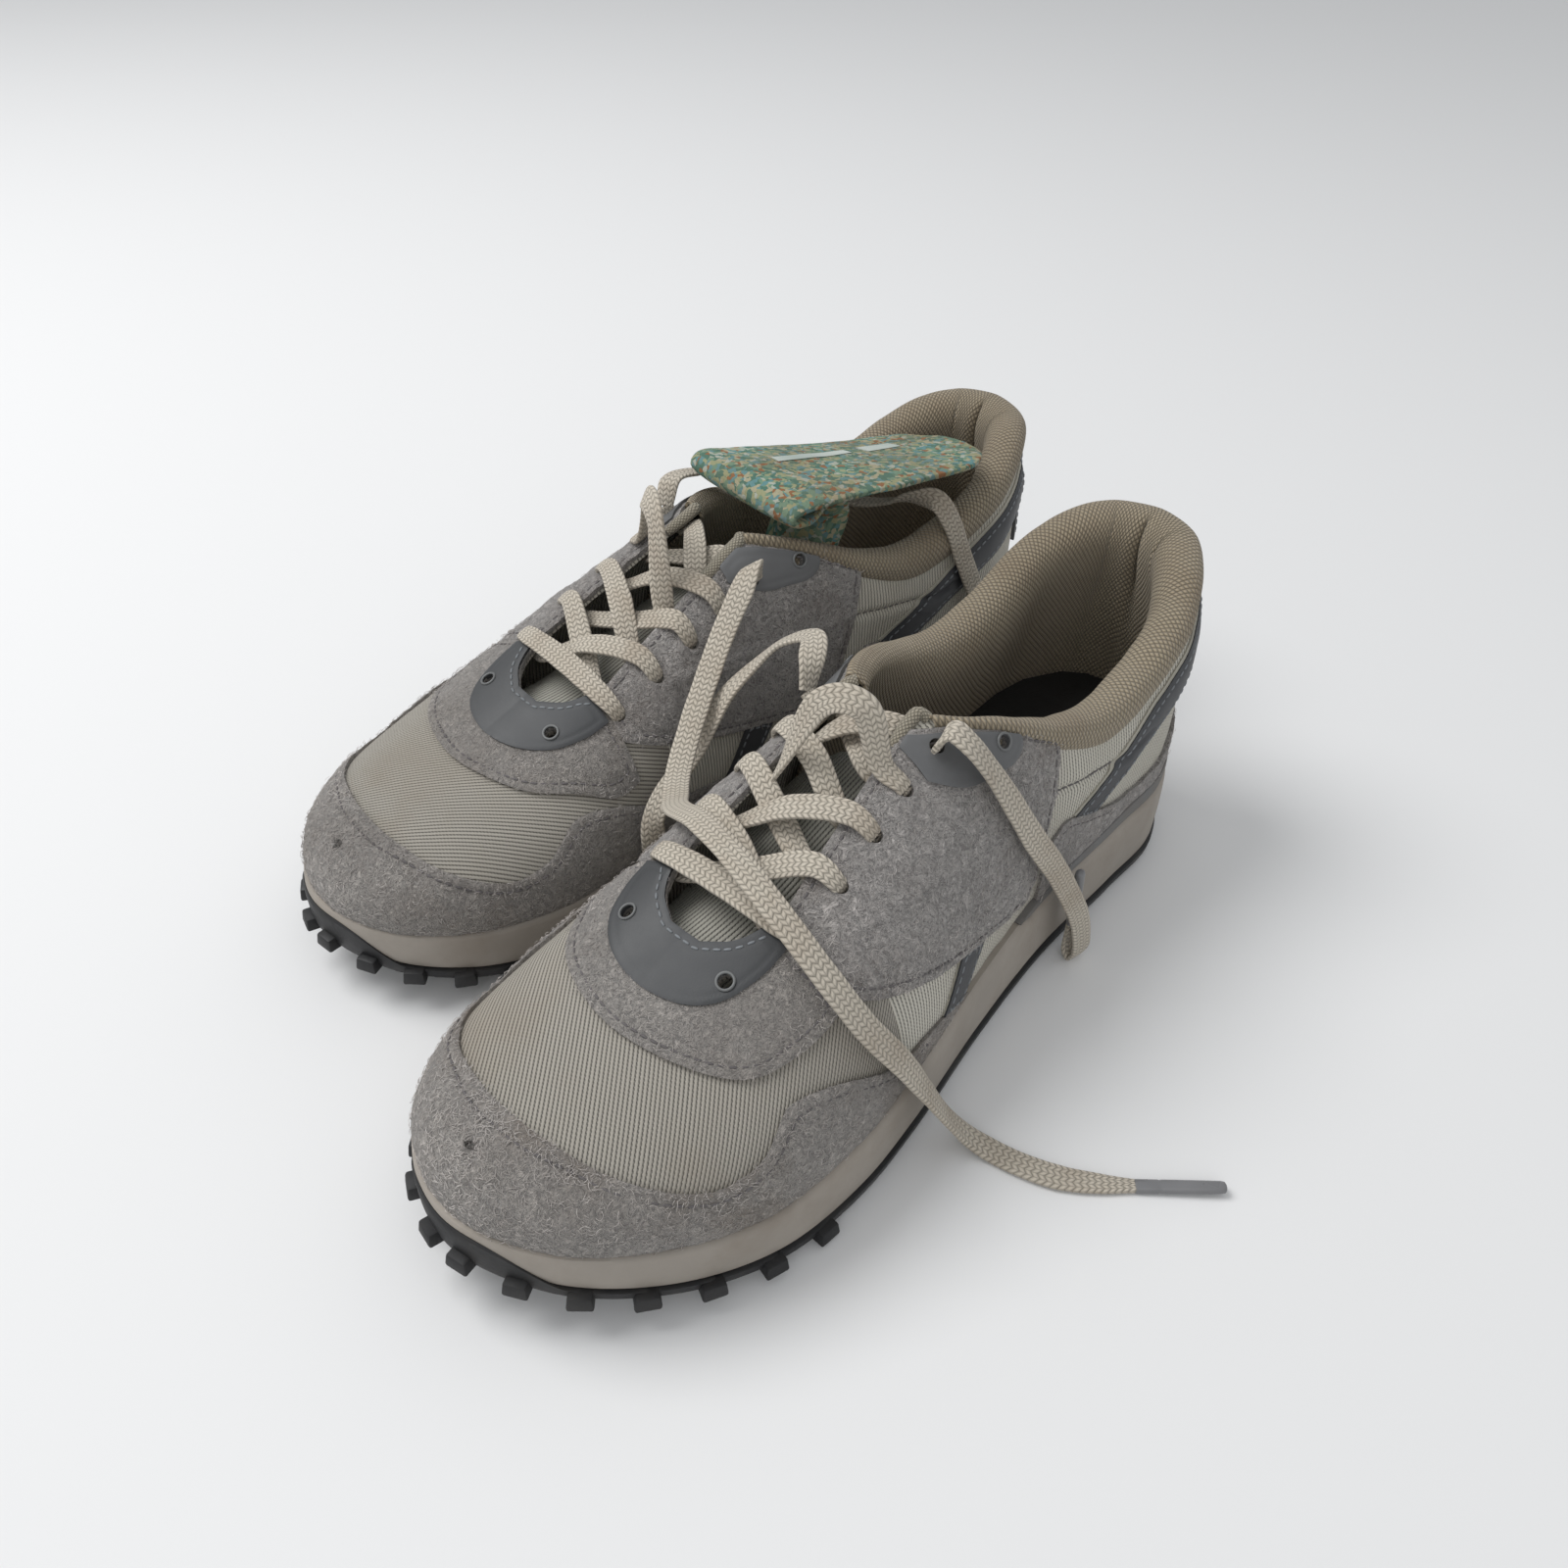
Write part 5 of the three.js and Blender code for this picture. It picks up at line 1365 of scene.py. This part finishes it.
def tread():
    """Bars across the underside, parted along the middle."""
    us = np.linspace(0.02, LAST - 0.02, 700)
    sides = {side: edge(us, side, 2.2) for side in (-1, 1)}
    corners = []
    for y in np.arange(-12, -280, -BAR_PITCH):
        ends = []
        for row_y in (y, y - BAR_WIDTH):
            ends.append([np.interp(-row_y, -sides[s][:, 1], sides[s][:, 0]) for s in (-1, 1)])
        for low_x, high_x in ((0.0, 0.46), (0.54, 1.0)):
            base = [(ends[0][0] + (ends[0][1] - ends[0][0]) * low_x, y),
                    (ends[0][0] + (ends[0][1] - ends[0][0]) * high_x, y),
                    (ends[1][0] + (ends[1][1] - ends[1][0]) * high_x, y - BAR_WIDTH),
                    (ends[1][0] + (ends[1][1] - ends[1][0]) * low_x, y - BAR_WIDTH)]
            corners.append([[bx, by, ground(by)] for bx, by in base]
                           + [[bx, by, ground(by) + BAR_HEIGHT] for bx, by in base])
    return corners


outsole = slab("left_rubber", outsole_section(), RUBBER)
for part in (blocks("lugs", toe_lugs(), 0.7), blocks("tread", tread(), 0.35)):
    merge([outsole, part])
finish_piece(outsole, RUBBER, 35)
keep_piece("outsole", outsole, "rubber_outsole")
keep_piece("midsole", slab("left_foam", midsole_section(), FOAM), "cream_foam")
keep_piece("heel_wedge", slab("left_wedge", wedge_section(), WEDGE_FOAM,
                              float(np.interp(119, [-y for y, _, _ in EDGE], np.arange(LAST + 1)))), "grey_foam")

# ------------------------------------------------------------------ tongue, insole, loop


def strip(name, path, drift, thickness, material, soft=0.0, low=-1.0, high=1.0, first=0.0, last=1.0, lift=0.0):
    """Soft strip along a side-view path of y, z, half width, curl and sideways slope."""
    path = np.array([list(row) + [0] * (5 - len(row)) for row in path], float)
    rows = smooth(path, 26 * len(path))
    rows = even(rows, 1.0)
    along = lengths(rows[:, :2])
    part = (along >= first * along[-1]) & (along <= last * along[-1])
    way_share = (np.arange(len(rows)) / len(rows))[part]
    rows = rows[part]
    spine, half, curl, slope = rows[:, :2], np.maximum(rows[:, 2], 2), np.minimum(rows[:, 3], -0.5), rows[:, 4]
    tangent = unit(np.gradient(spine, axis=0))
    up = np.stack([-tangent[:, 1], tangent[:, 0]], 1)
    turn = np.linspace(0, 2 * np.pi, 72, endpoint=False)
    across = squarish(-np.cos(turn), 0.9)
    rise = squarish(np.sin(turn), 0.45)
    share = low + (across + 1) / 2 * (high - low)
    rings, uv = [], []
    gone = 0.0
    for i, (centre, h, c, s) in enumerate(zip(spine, half, curl, slope)):
        angle = math.radians(c)
        radius = h / angle
        swing = share * angle
        over = lift + thickness / 2 * rise
        out = radius * (1 - np.cos(swing)) + over * np.cos(swing)
        aside = radius * np.sin(swing) - over * np.sin(swing)
        gone += np.linalg.norm(spine[i] - spine[i - 1]) if i else 0
        y, z = centre[0] + up[i, 0] * out, centre[1] + up[i, 1] * out + s * aside
        rings.append(np.stack([drift(centre, way_share[i]) + aside, y, z], 1))
        uv.append([(v * h, gone) for v in share])
    rings = np.array(rings)
    flat = rings.reshape(-1, 3)
    flat += soft * np.stack([lumps(flat, 13), lumps(flat + 50, 13), lumps(flat + 90, 9)], 1)
    soil = 0.4 + 0.4 * lumps(flat, 14)
    return sweep(name, rings, material, np.array(uv).reshape(-1, 2), soil, angle=70)


TONGUE = [[-217, 55.6, 14, -20], [-208, 56.5, 18, -30], [-198, 57.6, 21, -40], [-185, 61, 23, -45],
          [-171, 66, 23, -45], [-157, 71, 22.5, -45], [-147, 74.5, 20, -45], [-141, 76.5, 14, -40]]
PULLED_INSOLE = [[-266, 35.5, 10, 0], [-260, 35, 20, 0], [-246, 34, 31, 0], [-228, 34, 34, 0],
                 [-208, 35.5, 32, 0], [-188, 39, 29, -10], [-168, 46, 26, -30], [-150, 53, 25, -50],
                 [-136, 60.5, 22, -80], [-124, 69, 20, -95], [-114, 79, 20, -95], [-109, 89, 20, -90],
                 [-109, 97, 22, -60], [-116, 102, 23.5, -25], [-124, 104.8, 25, 0], [-129.5, 106.3, 25.5, 0],
                 [-131, 108.6, 25.5, 0], [-128.5, 110.6, 26, 0], [-118, 110, 26, 0, -.03],
                 [-98, 107, 27, 0, -.1], [-78, 104, 28, 0, -.17], [-58, 101.5, 27, 0, -.2], [-45, 101, 20, 0, -.2],
                 [-40, 101, 9, 0, -.2]]


def insole_drift(centre, share):
    past = max(0.0, share * (len(PULLED_INSOLE) - 1) - 14.5)
    return THROAT_X - past * 0.8


keep_piece("tongue", strip("left_tongue_pad", TONGUE, lambda c, s: THROAT_X, 4.4, TONGUE_CLOTH, 0.25),
           "ribbed_textile", "tongue")
insole = strip("pulled_insole", PULLED_INSOLE, insole_drift, 4.0, FLECKED_FOAM, 0.3)
bars = [strip("bar", PULLED_INSOLE, insole_drift, 0.3, PRINT, 0.3, low, high, first, last, 2.2)
        for low, high, first, last in ((0.2, 0.36, 0.755, 0.865), (0.16, 0.4, 0.885, 0.94))]
merge(bars)


LOOP_WIDTH, LOOP_THICKNESS = 9.8, 1.5


def pull_loop():
    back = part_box("left_pull_loop")[0].y / MM - ORIGIN[1]
    line = [[0, back - 1.2, 71.5], [0, back + 1.5, 72.6], [0, back + 4.8, 75.2], [0, back + 6.1, 82],
            [0, back + 4.8, 88.8], [0, back + 1.5, 91.4], [0, back - 1.2, 92.5]]
    line = even(smooth(line, 200), 0.7)
    ahead = unit(np.gradient(line, axis=0))
    up = np.cross(ahead, [1.0, 0, 0])
    across = squarish(np.cos(RING), 0.6) * LOOP_WIDTH / 2
    over = squarish(np.sin(RING), 0.5) * LOOP_THICKNESS / 2
    rings = line[:, None] + across[None, :, None] * [1.0, 0, 0] + up[:, None] * over[None, :, None]
    return sweep("left_loop", rings, WEBBING, tube_uv(across, lengths(line), rings))


keep_piece("pull_loop", pull_loop(), "grey_webbing")

# ------------------------------------------------------------------ suede fibres


def fibres(name, areas, count, material, seed):
    """Short curled hairs standing on the suede, denser along its cut edges."""
    random = np.random.RandomState(seed)
    depth = np.maximum.reduce([area for area, _ in areas])
    which = np.argmax([area for area, _ in areas], 0)
    tops = np.array([top for _, top in areas])
    weight = (depth > 0.15) * (1 + 2.2 * np.exp(-np.maximum(depth, 0) / 1.6)) * (HOLES > 1)
    spots = random.choice(len(FORM), count, p=weight / weight.sum())
    roots = FORM[spots] + NORMALS[spots] * (tops[which[spots]] - 0.12)[:, None] + random.normal(0, 0.25, (count, 3))
    up = NORMALS[spots]
    lean = unit(np.cross(up, random.normal(size=(count, 3))))
    aside = np.cross(up, lean)
    long = random.uniform(0.9, 2.6, count)
    curl = random.uniform(-2.4, 2.4, count)
    points, faces = [], []
    for k in range(count):
        first = len(points)
        at, heading = roots[k], 0.0
        for r in range(4):
            girth = 0.09 * (1 - 0.22 * r)
            way = lean[k] * math.cos(heading) + aside[k] * math.sin(heading)
            flat = np.cross(way, up[k])
            for turn in (0, 2.1, 4.2):
                points.append(at + flat * math.cos(turn) * girth + up[k] * math.sin(turn) * girth)
            at = at + way * long[k] / 3 + up[k] * (0.32 - 0.26 * r) * long[k] / 3
            heading += curl[k] / 3
        for r in range(3):
            q = first + 3 * r
            faces += [[q + j, q + (j + 1) % 3, q + 3 + (j + 1) % 3, q + 3 + j] for j in range(3)]
        faces += [[first + 2, first + 1, first], [first + 9, first + 10, first + 11]]
    piece = new_piece(name, np.array(points), faces)
    outward(piece)
    return finish_piece(piece, material, 80)


HAIR = smooth_stuff("suede_hair", (0.6, 0.56, 0.53), (0.32, 0.29, 0.27), (0.85, 0.95), 300.0)
suede_areas = [(MUD_OPEN, SUEDE_TOP), (STAY_OPEN, SUEDE_TOP), (FOX_AREA, SUEDE_TOP),
               (np.minimum.reduce([SADDLE_AREA, BELOW_COLLAR - 1.6, OUTSIDE_THROAT - 1.2, -PATCH_AREA]), 3.9)]
keep_piece("suede_hairs", fibres("left_hairs", suede_areas, 7500, HAIR, 11), "suede", nodes=())

# ------------------------------------------------------------------ laces


def eyelet_pass(k, side):
    """Knots of a lace that comes over the edge, down through an eyelet and in underneath."""
    at, up = EYELETS[k, side]
    inward = np.array([-side, 0.0, 0.0])
    inward = unit(inward - up * (inward @ up))
    knots = [(8, 5.0), (1.5, 4.7), (-0.6, 1), (1.5, -2.3), (9.5, -2.6)]
    return [(at + inward * a + up * b, inward if i == 2 else up, 5.0 if 0 < i < 4 else 6.6)
            for i, (a, b) in enumerate(knots)]


EXITS = {-1: np.array([-27.5, -142.2, 90.5]), 1: np.array([17.9, -143.0, 97.1])}


def strand(first_side, cross):
    """Half of the lacing, crossing over at each pair of eyelets."""
    knots, side = [], first_side
    for k in range(5):
        turn = eyelet_pass(k, side)
        last = k == 4
        knots += [*turn[2:][::-1], (EXITS[side], turn[2][1], 5.2)] if last else turn
        if not last:
            ahead = eyelet_pass(k + 1, -side)
            here, there = turn[-1], ahead[-1] if k == 3 else ahead[0]
            slack = k == 2 and cross < 0
            for share in (0.4, 0.6, 0.8) if slack else (0.5,):
                middle = here[0] * (1 - share) + there[0] * share
                middle = middle + [0, 0, 24 * math.sin(math.pi * (0.1 + 0.75 * share)) if slack else cross + 2]
                face = unit(np.array([0, -0.35, 1]) + (np.array([0.5, -0.8, 0]) if slack else 0))
                knots.append((middle, face, LACE_WIDTH))
        side = -side
    return knots


def laced_part():
    """The lace through all eyelets, from one top eyelet over the lowest pair to the other."""
    outer, inner = strand(1, 2.2), strand(-1, -2.2)
    middle = ((outer[0][0] + inner[0][0]) / 2 + [0, 0, 1.5], np.array([0, -0.4, 1.0]), LACE_WIDTH)
    places, faces, widths = zip(*outer[::-1], middle, *inner)
    return ribbon("left_laced", places, faces, widths, LACE_COTTON)[0]


keep_piece("lace_laced", laced_part(), "cotton_lace")

FREE_ENDS = {
    "left_lace_end_a": (1, [[20, -141.5, 101.5], [25, -140, 99], [30, -136, 91], [35, -131, 80], [39.5, -124, 66],
                            [42.5, -115, 52], [44.5, -106, 37], [46, -98, 22], [46.5, -94, 10], [46, -92.5, 4.5],
                            [44.2, -92, 2.2], [42.2, -92, 4], [41.7, -92.3, 9], [41.6, -93, 15]],
                        [42, -96, 37]),
    "left_lace_end_b": (-1, [[-30, -138, 97.5], [-36, -131, 99], [-46, -131, 93], [-54, -134, 83],
                             [-59, -141, 73.5], [-60.2, -147, 66], [-60.4, -153, 59], [-60.3, -160, 53.5],
                             [-60, -167, 49], [-60, -171, 43], [-59.5, -172, 34], [-59, -171, 24],
                             [-57.5, -166, 12], [-56.5, -158, 4], [-56, -148, 2.1], [-55, -130, 2.1],
                             [-54, -112, 2.1]], [-53, -90, 2.1]),
    "right_lace_end_a": (-1, [[-76, -113, 98], [-73, -121, 93.5], [-70.5, -131, 85], [-66, -143, 75.5],
                              [-61, -154, 68], [-54, -166, 62], [-44, -177, 64], [-34, -186, 71], [-20, -192, 79],
                              [-4, -197, 81.5], [11, -201, 80], [24, -203, 75.5], [35, -202.5, 67.5],
                              [44, -199, 56], [50.5, -191.5, 42], [54.5, -184, 27], [57.5, -177, 13],
                              [61.5, -172, 4], [68, -169.5, 2.1], [77, -167.5, 2.1], [86, -164, 2.1],
                              [95, -158, 2.1], [103, -151.5, 2.1]], [118, -138.5, 2.1]),
    "right_lace_end_b": (1, [[-127, -98, 103], [-127.5, -87, 102], [-123, -76, 100], [-118, -63, 94.5],
                             [-113, -51, 89.5], [-105, -43, 86], [-94, -37, 85.5], [-84, -34, 88.5],
                             [-75, -33, 92.5], [-67.5, -31, 93.5], [-62.5, -28, 86], [-59.5, -24, 74],
                             [-57, -18, 60], [-55, -11, 46], [-53.5, -3, 32], [-52.5, 4, 19], [-51.5, 10, 8],
                             [-50, 15, 2.3], [-46, 25, 2.1], [-41, 34, 2.1]], [-32, 54, 2.1]),
}


def to_pair(point):
    """A place in the left shoe's pattern, moved to the mirrored right shoe."""
    world = TO_RIGHT @ Vector(to_world(point))
    return np.array(world) / MM - ORIGIN


LEFT_SKIN, LEFT_UP = FORM[::7], NORMALS[::7]
RIGHT_SKIN = np.array([to_pair(p) for p in LEFT_SKIN])
RIGHT_UP = np.array([to_pair(p) for p in LEFT_SKIN + LEFT_UP]) - RIGHT_SKIN


def facing(point):
    """Which way a lace lies flat here: on a shoe, or not settled."""
    best, found = 8.0, None
    for skin, ups in ((LEFT_SKIN, LEFT_UP), (RIGHT_SKIN, RIGHT_UP)):
        away = np.linalg.norm(skin - point, axis=1)
        if away.min() < best:
            best, found = away.min(), ups[away.argmin()]
    return found


NEAR_FLOOR, LACE_ON_FLOOR, AGLET_ON_FLOOR = 2.3, 1.05, 1.95
HANGS_FROM = {"left_lace_end_a": 4}
AGLET_PROFILE = [(0, 1.2), (0.05, 1.75), (0.5, 1.9), (6, 1.85), (6.6, 1.72), (7.2, 1.85), (15, 1.8), (22.6, 1.7),
                 (23.6, 1.5), (24, 0.9)]


def free_end(name, exit_point, points, tip):
    """Loose end of a lace with its tip: the lace, its centre line and the tip."""
    points = np.array([exit_point] + [list(p) for p in points], float)
    points[:, 2] = np.where(points[:, 2] < NEAR_FLOOR, LACE_ON_FLOOR, points[:, 2])
    ahead = unit(np.gradient(points, axis=0))
    across = np.cross(ahead, [0, 0, 1.0])
    for i, p in enumerate(points):
        up = facing(p)
        if up is not None:
            across[i] = np.cross(ahead[i], up)
    across[0] = across[1] = [0, 1, 0.35]
    if name in HANGS_FROM:
        across[HANGS_FROM[name]:] = [0.15, 1, 0]
    across = settle(signed(across), 2)
    faces = unit(np.cross(across, ahead))
    widths = np.full(len(points), LACE_WIDTH)
    widths[0], widths[-2], widths[-1] = 5.2, 6.0, 3.3
    piece, line = ribbon(name + "_lace", points, faces, widths, LACE_COTTON)
    tip = np.array(tip, float)
    if tip[2] < NEAR_FLOOR:
        tip[2] = AGLET_ON_FLOOR
    way = unit(tip - line[-1])
    start = line[-1] - way * 1.5
    side = unit(np.cross(way, [0.0, 0, 1]) if abs(way[2]) < 0.9 else np.cross(way, [1.0, 0, 0]))
    high = np.cross(side, way)
    rings = np.array([[start + way * a + (side * math.cos(t) * 1.05 + high * math.sin(t) * 0.85) * r for t in RING]
                      for a, r in AGLET_PROFILE])
    aglet = sweep(name + "_tip", rings, AGLET_FILM, angle=50)
    return piece, line, aglet


cords = []
for name, (side, points, tip) in FREE_ENDS.items():
    start = EXITS[side] if name.startswith("left") else to_pair(EXITS[side])
    cords.append((name, free_end(name, start, points, tip)))

# ------------------------------------------------------------------ both shoes


def join_body(piece, side, body, nodes):
    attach(piece, f"{side}_{body}")
    if nodes:
        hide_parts(*(f"{side}_{node}" for node in nodes))


def right_copy(piece, name):
    mesh = piece.data.copy()
    mesh.transform(TO_RIGHT)
    mesh.flip_normals()
    twin = bpy.data.objects.new(name, mesh)
    bpy.context.scene.collection.objects.link(twin)
    return twin


for key, (piece, slot, body, nodes) in list(pieces.items()):
    piece.name = f"{key}_left"
    twin = right_copy(piece, f"{key}_right")
    for made, side in ((piece, "left"), (twin, "right")):
        join_body(made, side, body, nodes)

for piece, name, nodes in ((insole, "insole_right", ("insole",)), (bars[0], "insole_bars_right", ())):
    join_body(right_copy(piece, name), "right", "shoe", nodes)
    bpy.data.objects.remove(piece)

for name, (piece, line, aglet) in cords:
    shoe, letter = name.split("_")[0], name[-1]
    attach(piece, f"{shoe}_shoe")
    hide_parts(name)
    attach(aglet, f"{shoe}_shoe")
    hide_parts(f"{shoe}_aglet_{letter}")

for side in ("left", "right"):
    # Inner parts get their own finishes; the insole left in its shoe is near-black, its own dark foam darkened
    # further with painted shade from inside the shoe.
    for node, material in (("lasting_board", BOARD), ("heel_counter", COUNTER), ("insole", SHADED_SOCKLINER)):
        item = bpy.data.objects.get(f"{side}_{node}")
        if item is not None and not (side == "right" and node == "insole"):
            item.data.materials.clear()
            item.data.materials.append(material)

# ------------------------------------------------------------------ floor and light


def daylight(name, at, size, power, aim=(0, 0, 0.03)):
    data = bpy.data.lights.new(name, "AREA")
    data.shape = "DISK"
    data.size = size
    data.energy = power
    lamp = bpy.data.objects.new(name, data)
    lamp.location = at
    lamp.rotation_euler = (Vector(aim) - Vector(at)).to_track_quat("-Z", "Y").to_euler()
    bpy.context.scene.collection.objects.link(lamp)


def soft_world(strength):
    world = bpy.data.worlds.new("soft_light")
    world.use_nodes = True
    background = world.node_tree.nodes["Background"]
    background.inputs["Color"].default_value = (0.96, 0.98, 1, 1)
    background.inputs["Strength"].default_value = strength
    bpy.context.scene.world = world


bpy.ops.mesh.primitive_plane_add(size=12, location=(0, 0, -0.0002))
floor = bpy.context.object
floor.name = "floor"
floor_material, _, floor_shader, _ = start_material("pale_floor", 0.8)
floor_shader.inputs["Base Color"].default_value = (0.8, 0.8, 0.8, 1)
floor.data.materials.append(floor_material)
soft_world(0.55)
daylight("big_window", (-0.9, -0.5, 1.5), 1.1, 20)
daylight("fill", (1.2, -1.2, 1.2), 1.6, 5)
bpy.context.scene.view_settings.view_transform = "Standard"
